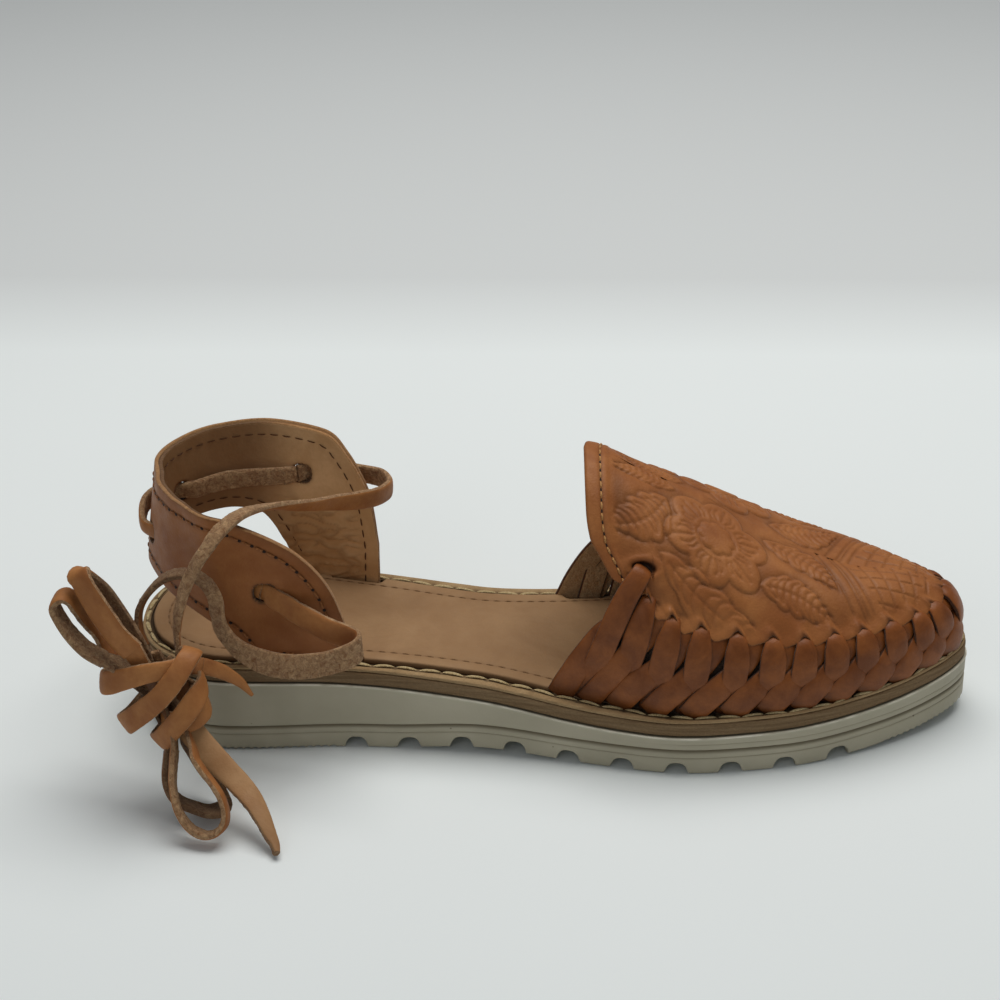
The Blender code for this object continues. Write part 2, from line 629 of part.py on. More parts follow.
def heel_band(collection, cutters):
    """Back strap of outer leather and lining, open under the heel, holed for the ankle tie."""
    made = band_sheet("heel_band", collection)
    thicken(made, BAND_WALL)
    for number in range(len(HOLES["at"])):
        cut(made, hole_cutter(number, cutters))
    return made


def rounded(value):
    """Turns a circle's cosine or sine into that of a slot with round corners."""
    return np.sign(value) * np.abs(value) ** (2 / HOLE_POWER)


def hole_cutter(number, cutters):
    """An oval plug through the band at one lace hole."""
    at, z, wide, tall = (HOLES[key][number] for key in ("at", "z", "wide", "tall"))
    turn = np.linspace(0, 2 * math.pi, HOLE_SIDES + 1)[:-1]
    sideways, upright = rounded(np.cos(turn)), rounded(np.sin(turn))
    rings = [band_point(at + wide / 2 * sideways, z + tall / 2 * upright, out)
             for out in (-BAND_WALL - HOLE_REACH, HOLE_REACH)]
    size = len(turn)
    faces = rings_to_faces(size, 2)
    faces += [tuple(range(size))[::-1], tuple(range(size, 2 * size))]
    made = add_mesh("lace_hole_%d" % number, np.vstack(rings), [f[::-1] for f in faces], "heel_band", cutters)
    return cutter(made)


# ---------------------------------------------------------------- ankle tie

def ribbon(name, middle, facing, collection, tip=1.0):
    """A flat lace along a line of points, whose grain side faces the given way, narrowed to a tip."""
    along = np.gradient(middle, axis=0)
    along /= np.linalg.norm(along, axis=1)[:, None]
    across = np.cross(along, facing)
    across /= np.linalg.norm(across, axis=1)[:, None]
    face = np.cross(across, along)
    share = np.linspace(0, 1, len(middle))
    half = LACE_WIDE / 2 * (1 - (1 - tip) * share ** 2)
    rings = [np.array([p + a * w * i + f * LACE_THICK / 2 * j for i, j in ((1, 1), (1, -1), (-1, -1), (-1, 1))])
             for p, a, f, w in zip(middle, across, face, half)]
    last = 4 * (len(rings) - 1)
    faces = rings_to_faces(4, len(rings)) + [(3, 2, 1, 0), (last, last + 1, last + 2, last + 3)]
    return add_mesh(name, np.vstack(rings), faces, "ankle_tie", collection)


def strand(name, route, collection, tip=1.0):
    """A free strand of the lace, with a section at each point of its route."""
    route = np.asarray(route, float)
    return ribbon(name, route[:, :3], route[:, 3:], collection, tip)


def round_off(points, steps):
    """Points on the smooth curve that passes through each given point."""
    before = np.vstack([2 * points[0] - points[1], points[:-1]])
    after = np.vstack([points[1:], 2 * points[-1] - points[-2]])
    slope = (after - before) / 2
    made = []
    for i in range(len(points) - 1):
        for t in np.arange(steps) / steps:
            made.append((1 + 2 * t) * (1 - t) ** 2 * points[i] + t * (1 - t) ** 2 * slope[i]
                        + t * t * (3 - 2 * t) * points[i + 1] + t * t * (t - 1) * slope[i + 1])
    return np.array(made + [points[-1]])


def tie_threaded(collection):
    """The middle of the tie, through the four holes of the heel band."""
    rows = np.column_stack([np.asarray(THREAD[key], float) for key in ("at", "z", "out")])
    rows = round_off(rows, steps=2)
    middle = band_point(rows[:, 0], rows[:, 1], rows[:, 2])
    outer = band_point(rows[:, 0], rows[:, 1], rows[:, 2] + 1)
    return ribbon("tie_threaded", middle, outer - middle, collection)


def tie_knot(collection):
    """The bundle of wraps, as one rounded solid."""
    shape = bmesh.new()
    turn = Vector(KNOT_AXIS).to_track_quat("Z", "Y").to_matrix().to_4x4()
    place = Matrix.Translation(Vector(KNOT_CENTRE) * MM) @ turn @ Matrix.Diagonal((*Vector(KNOT_RADII), 1))
    bmesh.ops.create_uvsphere(shape, u_segments=14, v_segments=9, radius=MM, matrix=place)
    mesh = bpy.data.meshes.new("tie_knot")
    shape.to_mesh(mesh)
    shape.free()
    mesh.materials.append(material("ankle_tie"))
    made = bpy.data.objects.new("tie_knot", mesh)
    collection.objects.link(made)
    mesh.shade_smooth()
    return made


def ankle_tie(collection):
    tie_threaded(collection)
    tie_knot(collection)
    strand("tie_run_lateral", LATERAL_RUN, collection)
    strand("tie_run_medial", MEDIAL_RUN, collection)
    strand("tie_loop_long", LOOP_LONG, collection)
    strand("tie_loop_short", LOOP_SHORT, collection)
    strand("tie_loop_thin", LOOP_THIN, collection)
    strand("tie_loop_dark", LOOP_DARK, collection)
    strand("tie_tail_long", TAIL_LONG, collection, TAIL_TIP)
    strand("tie_tail_short", TAIL_SHORT, collection, TAIL_TIP)


# ---------------------------------------------------------------- assembly

def seat_tools(cutters):
    """Walls a little thicker than the real ones, which cut the insole back for plait and band."""
    plait = plait_sheet("plait_seat", cutters, low=SEAT_CUT, longer=PLAIT_SEAT_LONGER)
    thicken(plait, PLAIT_WALL + 2 * GAP, PLAIT_PROUD + GAP)
    band = band_sheet("band_seat", cutters, low=SEAT_CUT, longer=BAND_SEAT_LONGER)
    thicken(band, BAND_WALL + 2 * GAP, GAP)
    return [cutter(plait), cutter(band)]


def main():
    for made in list(bpy.data.objects):
        bpy.data.objects.remove(made, do_unlink=True)
    parts = bpy.data.collections.new("ankle_tie_sandal")
    cutters = bpy.data.collections.new("cutters")
    for collection in (parts, cutters):
        bpy.context.scene.collection.children.link(collection)
    outsole(parts, cutters)
    midsole(parts)
    welt_strip(parts)
    insole(parts, seat_tools(cutters))
    vamp(parts)
    plaited_wall(parts)
    heel_band(parts, cutters)
    ankle_tie(parts)


main()
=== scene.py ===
import itertools
import math

import bmesh
import bpy
import numpy as np
from mathutils import Matrix, Vector
from mathutils.kdtree import KDTree


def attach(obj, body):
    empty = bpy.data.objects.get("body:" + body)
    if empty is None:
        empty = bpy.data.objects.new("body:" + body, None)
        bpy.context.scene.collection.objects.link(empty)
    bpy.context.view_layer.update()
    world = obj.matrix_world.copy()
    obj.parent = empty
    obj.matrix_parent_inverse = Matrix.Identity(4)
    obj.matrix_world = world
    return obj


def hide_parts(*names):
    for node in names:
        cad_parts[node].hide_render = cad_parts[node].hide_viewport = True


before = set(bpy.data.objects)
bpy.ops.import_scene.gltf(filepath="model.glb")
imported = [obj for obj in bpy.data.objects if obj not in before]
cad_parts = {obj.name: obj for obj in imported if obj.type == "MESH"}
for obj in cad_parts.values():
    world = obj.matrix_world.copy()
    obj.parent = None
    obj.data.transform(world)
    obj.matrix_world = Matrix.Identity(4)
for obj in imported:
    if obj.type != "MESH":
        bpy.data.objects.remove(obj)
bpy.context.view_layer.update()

# The sandal's driving tables and formulas are those of its CAD source, in millimetres, so each
# visible piece lies on its CAD solid. Heap.piece scales points to metres.
MM = 0.001
GAP = 0.3


# ---------------------------------------------------------------- sole sizes

LENGTH = 258.0
STATIONS = 44
RIM_STATIONS = 400
HEEL_ROUND = 0.125
TOE_ROUND = 0.26
ROUND_POWER = 2.1

# station along the length, half width on the lateral side, half width on the medial side,
# sideways drift of the middle line
OUTLINE = {
    "station": (0.0, 0.12, 0.28, 0.41, 0.54, 0.66, 0.77, 0.88, 1.0),
    "lateral": (33.5, 33.5, 31.0, 33.0, 38.0, 42.5, 39.0, 33.0, 25.0),
    "medial": (33.0, 33.5, 29.5, 27.0, 35.5, 46.0, 46.5, 42.0, 33.0),
    "drift": (0.0, 0.0, 0.0, 0.0, 0.0, 0.2, 0.4, 0.7, 1.0),
}

# station, height of the tread, height of the outsole's top, width of the ledge outside the upper
SIDE = {
    "station": (0.0, 0.07, 0.20, 0.30, 0.42, 0.58, 0.64, 0.78, 0.90, 1.0),
    "tread": (0.8, 0.0, 0.0, 0.0, 1.9, 0.0, 0.0, 0.0, 1.3, 4.3),
    "deck": (24.4, 24.3, 23.5, 21.9, 18.9, 13.3, 12.8, 13.4, 15.4, 19.1),
    "ledge": (3.8, 4.6, 4.9, 5.2, 6.0, 5.6, 4.6, 3.4, 2.5, 2.6),
}

MIDSOLE_THICK = 4.2
WELT_THICK = 0.9
INSOLE_THICK = 1.9

LUG_FIRST_X = -59.0
LUG_PITCH = 16.3
LUG_COUNT = 10


# ---------------------------------------------------------------- upper sizes

THROAT_REACH = 0.08
THROAT_X = 11.0
APEX_X = 88.0
CREST_RUN = 1.75
PLAIT_PROUD = 0.5
SEAT_GAP = 0.7

# place along the crest, its height, its sideways place, fullness of the section outwards and upwards
CREST = {
    "x": (-2.0, 11.0, 30.0, 50.0, 70.0, 88.0),
    "z": (87.5, 86.5, 78.0, 68.5, 56.5, 49.5),
    "y": (4.3, 4.2, 3.9, 3.6, 2.5, 1.2),
    "out": (2.2, 2.2, 2.1, 2.05, 2.3, 2.7),
    "up": (2.05, 2.05, 2.05, 2.05, 2.2, 2.3),
}

# reach from the rear (0) to the toe tip (1), and where the lacing line runs up the section
LACE_LINE = {
    "reach": (0.0, 0.14, 0.20, 0.27, 0.40, 0.55, 0.77, 0.90, 1.0),
    "rise": (0.42, 0.42, 0.42, 0.345, 0.325, 0.35, 0.375, 0.40, 0.44),
}

# share of the way up each piece, and the reach at which its rear edge starts there
PLAIT_REAR = {"up": (0.0, 0.33, 0.58, 0.80, 1.0), "reach": (0.006, 0.062, 0.112, 0.138, 0.155)}
VAMP_REAR = {"up": (0.0, 0.10, 0.20, 0.37, 1.0), "reach": (0.138, 0.113, 0.092, 0.084, 0.080)}


# ---------------------------------------------------------------- heel band sizes

BAND_WALL = 2.6
BAND_LOW_Z = 30.0
BAND_TOP_Z = 80.0
BAND_CLIMB_MOST = 1.1
BAND_AIM = 1.5

# rows from the lateral wing's tip, round the back, to the medial wing's front edge. A place is
# measured round the heel from the back seam, lateral side negative. A height of 0 stands on the sole.
BAND = {
    "low_at": (-83.5, -78, -70, -54, -47, -31, -18, -5, 15, 36, 47, 56, 61, 72, 85.5),
    "low_z": (0, 0, 0, 25, 38, 46.5, 49.5, 52, 52.3, 53, 51.5, 39.5, 27, 0, 0),
    "top_at": (-83.5, -77, -68, -53, -47, -31, -17, -5, 19, 36, 51, 70, 77, 84, 86),
    "top_z": (32, 53.5, 66.5, 76.5, 79, 80, 80, 80, 80, 80.5, 81.7, 79, 72, 57, 41),
}

# place round the heel, and how far the band stands out from the ledge's inner edge, low and high
BAND_LEAN = {
    "at": (-95.0, -85.0, -70.0, -54.0, -45.0, -31.0, -17.0, -5.0, 8.0, 20.0, 36.0, 57.0, 86.0, 95.0),
    "low": (0.0, 0.0, 0.3, 0.0, -0.5, -1.5, -1.5, 0.5, 1.2, 0.8, 0.6, 0.2, 0.2, 0.2),
    "high": (1.0, 1.0, 4.8, 5.0, 3.6, -3.0, -5.5, -5.5, -2.5, 0.0, 3.2, 3.6, 3.5, 3.5),
}

# centre of each lace hole in the band: place round the heel and height, and its size both ways
HOLES = {
    "at": (-58.0, -9.5, 20.0, 62.0),
    "z": (53.0, 62.5, 63.0, 65.0),
    "wide": (12.0, 11.4, 10.8, 11.0),
    "tall": (11.8, 11.4, 10.8, 11.0),
}


# ---------------------------------------------------------------- ankle tie sizes

LACE_THICK = 2.0

# the strand through the heel band: place round the heel, height, and distance out from the band's face
THREAD = {
    "at": (-66, -62.5, -58, -53.5, -50, -38, -18.5, -14, -9.5, -5, -0.5, 5, 11, 15.5, 20, 24.5, 29, 42, 54,
           57.5, 62, 66.5, 70),
    "z": (48.6, 50.2, 52.4, 54.0, 55, 58, 61, 62, 62.5, 63, 63.5, 64.3, 64, 63.5, 63, 62.8, 62.8, 63.6, 64.6,
          64.8, 65, 65, 64.6),
    "out": (2.0, 1.4, -1.3, -4.0, -4.6, -4.6, -4.6, -4.4, -1.3, 1.8, 2.4, 2.5, 2.2, 1.5, -1.3, -4.0, -4.6,
            -4.6, -4.6, -4.0, -1.3, 1.4, 2.0),
}

# each free strand: x, y, z of its middle line, then the way its smooth grain side faces
LATERAL_RUN = (
    (-75, -33, 48, 0, -1, 0.1), (-70, -35.5, 46.5, 0.1, -1, 0.1), (-65, -38, 45, 0.1, -1, 0.1),
    (-60, -39.5, 44, -0.2, -1, 0.1), (-56.5, -40.5, 43, -0.6, -0.8, 0.1), (-55, -42.5, 42.5, -1, 0, 0),
    (-56, -45, 41.5, -0.6, 0.8, -0.1), (-60, -46.5, 40, -0.1, 1, -0.2), (-66.5, -46.5, 38, 0, 1, -0.3),
    (-75.5, -45.5, 36.5, 0, 1, -0.3), (-83.5, -44.5, 37.5, 0.1, 1, -0.2), (-90.5, -43, 40.5, 0.3, 1, -0.2),
    (-95.5, -40.5, 45, 0.6, 0.9, 0), (-97, -39.5, 50, 0.9, 0.5, 0), (-97.5, -39, 56, 0.9, 0.3, 0.3),
    (-100, -39.5, 61.5, 0.5, 0.2, 0.8), (-105, -40, 64.5, -0.1, 0.2, 1),
    (-111, -40.5, 63.5, -0.5, 0.2, 0.8), (-116, -42, 59.5, -0.8, 0.2, 0.5), (-119, -44, 54.5, -1, 0.1, 0.2),
    (-119, -46.5, 49.5, -1, 0.1, 0), (-117, -49.5, 45.5, -0.9, 0.1, -0.3),
)
MEDIAL_RUN = (
    (-70.5, 28, 64.5, 0, 1, 0.1), (-65, 29, 63.5, 0.1, 1, 0.1), (-59.5, 30, 62, 0.3, 1, 0.1),
    (-55, 28.5, 61.5, 0.8, 0.6, 0), (-52.5, 25, 61, 1, 0, 0), (-52.5, 20, 61.5, 1, -0.4, -0.1),
    (-55.5, 13.5, 62.5, 0.8, -0.7, -0.2), (-61.5, 7, 64.5, 0.7, -0.8, -0.3), (-67, 1, 67, 0.6, -0.8, -0.4),
    (-73.5, -8.5, 71, 0.5, -0.7, -0.6), (-79.5, -17.5, 75.5, 0.4, -0.3, -0.9),
    (-84, -24.5, 78.5, 0.3, 0, -1), (-88, -31.5, 80.5, 0.3, 0.3, -1), (-91, -36.5, 80.5, 0.3, 0.5, -0.8),
    (-94.5, -41, 78.5, 0.2, 0.8, -0.6), (-97, -43.5, 75.5, 0.3, 0.9, -0.4),
    (-100, -45.5, 71.5, 0.4, 0.9, -0.2), (-103.5, -47, 65, 0.5, 0.9, -0.1),
    (-106, -49, 57.5, 0.7, 0.7, -0.1), (-107, -50.5, 51.5, 0.9, 0.5, -0.1),
)
LOOP_LONG = (
    (-117.5, -61.5, 51, -0.3, -0.9, 0.3), (-121.5, -61, 55.5, -0.3, -0.9, 0.3),
    (-125.5, -60.5, 62.5, -0.3, -0.9, 0.3), (-129, -59.5, 69, -0.4, -0.9, 0.3),
    (-131, -58, 72.5, -0.6, -0.7, 0.5), (-132, -56, 73.5, -0.4, -0.1, 0.9),
    (-130.5, -54, 72.5, 0.3, 0.5, 0.8), (-127.5, -52.5, 66.5, 0.3, 0.9, 0.3),
    (-124.5, -52, 60.5, 0.3, 0.9, 0.3), (-121.5, -52.5, 54.5, 0.3, 0.9, 0.2),
    (-118.5, -54, 49.5, 0.3, 0.9, 0.2),
)
LOOP_SHORT = (
    (-126, -61.5, 48, -0.5, 0, -0.8), (-131, -61.5, 51.5, -0.6, 0, -0.8),
    (-135.5, -60.5, 56.5, -0.8, 0, -0.5), (-138.5, -59, 61, -0.9, 0, -0.3), (-139.5, -58.5, 64, -1, 0, 0.2),
    (-138, -58, 66.5, -0.4, 0, 0.9), (-135.5, -57, 66, 0.7, 0, 0.7), (-134, -56, 63, 0.9, 0, 0.3),
    (-133, -53, 58, 1, 0, 0.2), (-131, -49, 50.5, 0.9, 0, 0.3), (-129.5, -47.5, 43.5, 0.9, 0, 0.4),
    (-127.5, -47.5, 40, 0.8, 0, 0.6),
)
LOOP_THIN = (
    (-106.5, -69, 22.5, -1, 0, 0), (-106.5, -72, 19.5, -1, 0, 0), (-106.5, -75, 16, -1, -0.1, -0.1),
    (-105.5, -78.5, 12.5, -1, -0.1, -0.1), (-104, -81, 9, -0.9, -0.2, -0.3),
    (-101, -83, 5.5, -0.6, -0.3, -0.7), (-97, -84.5, 4, -0.1, -0.3, -1),
    (-93.5, -84.5, 4.5, 0.5, -0.3, -0.8), (-91, -83, 6.5, 0.9, -0.2, -0.3), (-90.5, -81.5, 10, 1, 0, 0),
    (-92, -79.5, 14, 0.9, 0.2, 0.3), (-94.5, -77.5, 17, 0.8, 0.3, 0.5), (-97.5, -75.5, 20, 0.8, 0.3, 0.5),
    (-99.5, -74, 22.5, 0.8, 0.3, 0.5),
)
LOOP_DARK = (
    (-110, -64, 18.5, -1, -0.2, -0.1), (-110.5, -66.5, 13, -1, -0.2, -0.1),
    (-109.5, -69, 9, -0.9, -0.2, -0.3), (-106.5, -71, 6, -0.5, -0.3, -0.8),
    (-102, -72, 4.5, -0.1, -0.3, -1), (-97.5, -72.5, 3.5, 0.1, -0.2, -1), (-93.5, -71.5, 4, 0.6, 0.1, -0.7),
    (-93, -69.5, 5.5, 0.9, 0.4, 0), (-95, -66.5, 8, 0.7, 0.6, 0.3), (-98.5, -64, 10.5, 0.6, 0.7, 0.3),
    (-101.5, -61.5, 13.5, 0.5, 0.8, 0.3), (-104, -59.5, 16.5, 0.5, 0.8, 0.3),
)
TAIL_LONG = (
    (-103, -63, 25.5, 0.4, -0.8, 0.4), (-99.5, -65, 22, 0.4, -0.8, 0.4), (-96, -67, 19, 0.4, -0.8, 0.4),
    (-92, -69.5, 16, 0.4, -0.8, 0.4), (-87.5, -72.5, 13, 0.5, -0.7, 0.5), (-83.5, -76, 10, 0.6, -0.6, 0.5),
    (-80.5, -80, 7.5, 0.6, -0.6, 0.5), (-78, -84, 5, 0.6, -0.5, 0.6), (-76, -87, 3, 0.6, -0.4, 0.7),
    (-75, -90, 2, 0.5, -0.2, 0.8),
)
TAIL_SHORT = (
    (-100, -53, 41, 0.3, -0.8, 0.6), (-96.5, -51.5, 39, 0.3, -0.8, 0.6), (-93.5, -50, 36.5, 0.3, -0.8, 0.5),
    (-90, -49, 33, 0.3, -0.8, 0.5), (-87, -48.5, 28.5, 0.3, -0.9, 0.4),
)


def curve(table, key, column, at):
    """Monotone cubic through a table's column, so that no section bulges past its neighbours."""
    xs = np.asarray(table[key], float)
    ys = np.asarray(table[column], float)
    at = np.clip(np.asarray(at, float), xs[0], xs[-1])
    steps = np.diff(xs)
    slopes = np.diff(ys) / steps
    tangents = np.empty(len(xs))
    tangents[0], tangents[-1] = slopes[0], slopes[-1]
    for i in range(1, len(xs) - 1):
        before, after = slopes[i - 1], slopes[i]
        if before * after <= 0:
            tangents[i] = 0.0
        else:
            near = 2 * steps[i] + steps[i - 1]
            far = steps[i] + 2 * steps[i - 1]
            tangents[i] = (near + far) / (near / before + far / after)
    i = np.clip(np.searchsorted(xs, at, side="right") - 1, 0, len(steps) - 1)
    t = (at - xs[i]) / steps[i]
    return ((1 + 2 * t) * (1 - t) ** 2 * ys[i] + t * (1 - t) ** 2 * steps[i] * tangents[i]
            + t * t * (3 - 2 * t) * ys[i + 1] + t * t * (t - 1) * steps[i] * tangents[i + 1])


# ---------------------------------------------------------------- sole outline


def side_points(side, count):
    """Outline of one side from heel to toe, crowded towards the round ends."""
    s = (1 - np.cos(np.linspace(0, math.pi, count + 1))) / 2
    heel = np.clip((HEEL_ROUND - s) / HEEL_ROUND, 0, 1)
    toe = np.clip((s - 1 + TOE_ROUND) / TOE_ROUND, 0, 1)
    closing = (1 - np.maximum(heel, toe) ** ROUND_POWER) ** (1 / ROUND_POWER)
    sign = -1 if side == "lateral" else 1
    y = curve(OUTLINE, "station", "drift", s) + sign * curve(OUTLINE, "station", side, s) * closing
    return np.column_stack([(s - 0.5) * LENGTH, y])


def outline_ring(count):
    """Closed outline: heel, lateral side, toe, medial side, centred across its own width."""
    lateral, medial = side_points("lateral", count), side_points("medial", count)
    ring = np.vstack([lateral, medial[-2:0:-1]])
    ring[:, 1] -= (ring[:, 1].min() + ring[:, 1].max()) / 2
    return ring


def inward(ring, distance):
    """The ring moved inwards by a distance, which may differ from point to point."""
    along = np.roll(ring, -1, axis=0) - np.roll(ring, 1, axis=0)
    along /= np.linalg.norm(along, axis=1)[:, None]
    normal = np.column_stack([-along[:, 1], along[:, 0]])
    return ring + normal * np.broadcast_to(distance, len(ring))[:, None]


def side_height(column, x):
    return curve(SIDE, "station", column, np.asarray(x) / LENGTH + 0.5)


def deck_height(x):
    """Top of the outsole."""
    return side_height("deck", x)


def seat_height(x):
    """Top of the midsole, on which insole, welt and upper sit."""
    return deck_height(x) + GAP / 2 + MIDSOLE_THICK


RIM = outline_ring(RIM_STATIONS)
FEATHER = inward(RIM, side_height("ledge", RIM[:, 0]))


def measured(points):
    """Distances along a line of points, from its first point."""
    return np.concatenate([[0], np.cumsum(np.linalg.norm(np.diff(points, axis=0), axis=1))])


def looped(ring):
    """A ring with its first point again at its end."""
    return np.concatenate([ring, ring[:1]])


def at_lengths(points, lengths):
    """Points at the given lengths along a line, with any number of coordinates."""
    along = measured(points)
    return np.column_stack([np.interp(lengths, along, points[:, i]) for i in range(points.shape[1])])


def feather_side(side, reach):
    """Points on the ledge's inner edge from the upper's rear (0) to the toe tip (1)."""
    half = len(FEATHER) // 2
    line = FEATHER[:half + 1] if side == "lateral" else np.vstack([FEATHER[half:], FEATHER[:1]])[::-1]
    line = line[np.searchsorted(line[:, 0], 0.0):]
    return at_lengths(line, np.asarray(reach) * measured(line)[-1])


def section_point(side, reach, rise):
    """A point of the upper's outer face: rise 0 is on the sole, 1 is on the crest.

    A section that leaves the crest forwards starts with the crest's own fall, so the top is smooth.
    """
    foot = feather_side(side, reach)
    run = 1 - (1 - (reach - THROAT_REACH) / (1 - THROAT_REACH)) ** CREST_RUN
    x = np.minimum(THROAT_X + (APEX_X - THROAT_X) * run, APEX_X)
    y = curve(CREST, "x", "y", x) + outline_shift()
    out, up = curve(CREST, "x", "out", x), curve(CREST, "x", "up", x)
    seat = seat_height(foot[:, 0]) + SEAT_GAP
    angle = rise * math.pi / 2
    across = np.clip(np.cos(angle), 0, 1) ** (2 / out)
    lift = np.sin(angle) ** (2 / up)
    crest = curve(CREST, "x", "z", x)
    fall = (curve(CREST, "x", "z", x - 1) - crest) * (foot[:, 0] - x) * across * (1 - across) ** 3
    return np.column_stack([
        x + (foot[:, 0] - x) * across,
        y + (foot[:, 1] - y) * across,
        seat + (crest - seat) * lift - fall,
    ])


def outline_shift():
    """Distance from the heel's middle line to the middle of the whole outline."""
    lateral, medial = side_points("lateral", STATIONS), side_points("medial", STATIONS)
    return -(lateral[:, 1].min() + medial[:, 1].max()) / 2


def lace_rise(reach):
    return curve(LACE_LINE, "reach", "rise", reach)


def heel_line():
    """The ledge's inner edge round the heel and its distances from the back, lateral side negative."""
    half = len(FEATHER) // 2
    lateral, medial = FEATHER[:half], np.roll(FEATHER, -1, axis=0)[::-1][:half]
    line = np.vstack([lateral[::-1], medial[1:]])
    return line, np.concatenate([-measured(lateral)[::-1], measured(medial)[1:]])


HEEL_LINE, HEEL_AT = heel_line()


def band_point(at, z, out=0.0):
    """A point of the band's outer face, or out from it, at a place round the heel and a height."""
    at = np.asarray(at, float)
    x, y = (np.interp(at, HEEL_AT, HEEL_LINE[:, i]) for i in (0, 1))
    ahead, behind = ([np.interp(at + step, HEEL_AT, HEEL_LINE[:, i]) for i in (0, 1)]
                     for step in (BAND_AIM, -BAND_AIM))
    along = np.column_stack([ahead[0] - behind[0], ahead[1] - behind[1]])
    along /= np.linalg.norm(along, axis=1)[:, None]
    climb = np.clip((np.asarray(z) - BAND_LOW_Z) / (BAND_TOP_Z - BAND_LOW_Z), 0, BAND_CLIMB_MOST) ** 2
    low, high = curve(BAND_LEAN, "at", "low", at), curve(BAND_LEAN, "at", "high", at)
    away = low + (high - low) * climb + out
    return np.column_stack([x - along[:, 1] * away, y + along[:, 0] * away, np.broadcast_to(z, at.shape)])


def round_off(points, steps):
    """Points on the smooth curve that passes through each given point."""
    before = np.vstack([2 * points[0] - points[1], points[:-1]])
    after = np.vstack([points[1:], 2 * points[-1] - points[-2]])
    slope = (after - before) / 2
    made = []
    for i in range(len(points) - 1):
        for t in np.arange(steps) / steps:
            made.append((1 + 2 * t) * (1 - t) ** 2 * points[i] + t * (1 - t) ** 2 * slope[i]
                        + t * t * (3 - 2 * t) * points[i + 1] + t * t * (t - 1) * slope[i + 1])
    return np.array(made + [points[-1]])


# ---------------------------------------------------------------- camera, light and stage

# degrees, millimetres from the origin, and the lens's focal length
CAMERA = {"azimuth": 4.0, "elevation": 27.5, "roll": 1.27, "eye": (24.2, -567.3, 365.0), "lens": 75.6}
CLIP_START = 0.01

# name, place, target and size in metres, watts and colour of each light
LIGHTS = (
    ("overhead", (0.08, 0.30, 1.15), (0.0, 0.05, 0.0), (1.1, 0.8), 11.4, (1.0, 0.965, 0.91)),
    ("front", (-0.5, -1.3, 0.85), (0.0, 0.0, 0.03), (0.9, 0.7), 1.5, (0.98, 0.98, 1.0)),
)
SKY = (0.86, 0.88, 0.88, 1.0)
SKY_STRENGTH = 0.22

# the paper reaches this far each way, and painted shade turns it greyer between two distances behind the
# shoe, in metres
FLOOR_REACH = 2.0
BACKDROP_SHADE_SPAN = (0.270, 0.360)


def placed(name, data):
    """A new object of the scene."""
    made = bpy.data.objects.new(name, data)
    bpy.context.scene.collection.objects.link(made)
    return made


def camera():
    azimuth, elevation, roll = (math.radians(CAMERA[key]) for key in ("azimuth", "elevation", "roll"))
    back = Vector((math.sin(azimuth) * math.cos(elevation), -math.cos(azimuth) * math.cos(elevation),
                   math.sin(elevation)))
    right = Vector((math.cos(azimuth), math.sin(azimuth), 0))
    turn = Matrix((right, back.cross(right), back)).transposed() @ Matrix.Rotation(-roll, 3, "Z")
    data = bpy.data.cameras.new("camera")
    data.lens = CAMERA["lens"]
    data.clip_start = CLIP_START
    made = placed("camera", data)
    made.matrix_world = Matrix.Translation(Vector(CAMERA["eye"]) * MM) @ turn.to_4x4()
    bpy.context.scene.camera = made


def lights():
    for name, place, target, size, watts, colour in LIGHTS:
        data = bpy.data.lights.new(name, "AREA")
        data.shape = "RECTANGLE"
        data.size, data.size_y = size
        data.energy = watts
        data.color = colour
        made = placed(name, data)
        made.location = place
        made.rotation_euler = (Vector(target) - made.location).to_track_quat("-Z", "Y").to_euler()
    world = bpy.data.worlds.new("studio")
    world.use_nodes = True
    background = world.node_tree.nodes["Background"].inputs
    background["Color"].default_value = SKY
    background["Strength"].default_value = SKY_STRENGTH
    bpy.context.scene.world = world


def backdrop():
    """One flat sheet of paper as the floor, with painted shade that makes it a little greyer behind the shoe.
    """
    corners = [(x * FLOOR_REACH, y * FLOOR_REACH, 0.0) for x, y in ((-1, -1), (1, -1), (1, 1), (-1, 1))]
    mesh = bpy.data.meshes.new("backdrop")
    mesh.from_pydata(corners, [], [(0, 1, 2, 3)])
    look = Look("backdrop_paper", 0.9, {"Specular IOR Level": 0.15})
    near = look.mix(look.noise(260.0, detail=2.0), (231, 238, 241), (236, 243, 246))
    depth = look.node("SeparateXYZ", {"Vector": look.place}).outputs["Y"]
    # painted shade: the paper turns greyer behind the shoe, where the backdrop is dimmer
    look.colour(look.mix(look.spread(depth, *BACKDROP_SHADE_SPAN), near, (213, 218, 221)))
    mesh.materials.append(look.material)
    made = placed("backdrop", mesh)


# ---------------------------------------------------------------- materials

# colour of the painted shade in crevices, gaps and under edges
PAINTED_SHADE_COLOUR = (44, 24, 12)


def tone(red, green, blue):
    """A display colour, 0 to 255, as the linear colour that shaders take."""
    share = np.array((red, green, blue)) / 255
    linear = np.where(share <= 0.04045, share / 12.92, ((share + 0.055) / 1.055) ** 2.4)
    return (*linear.tolist(), 1.0)


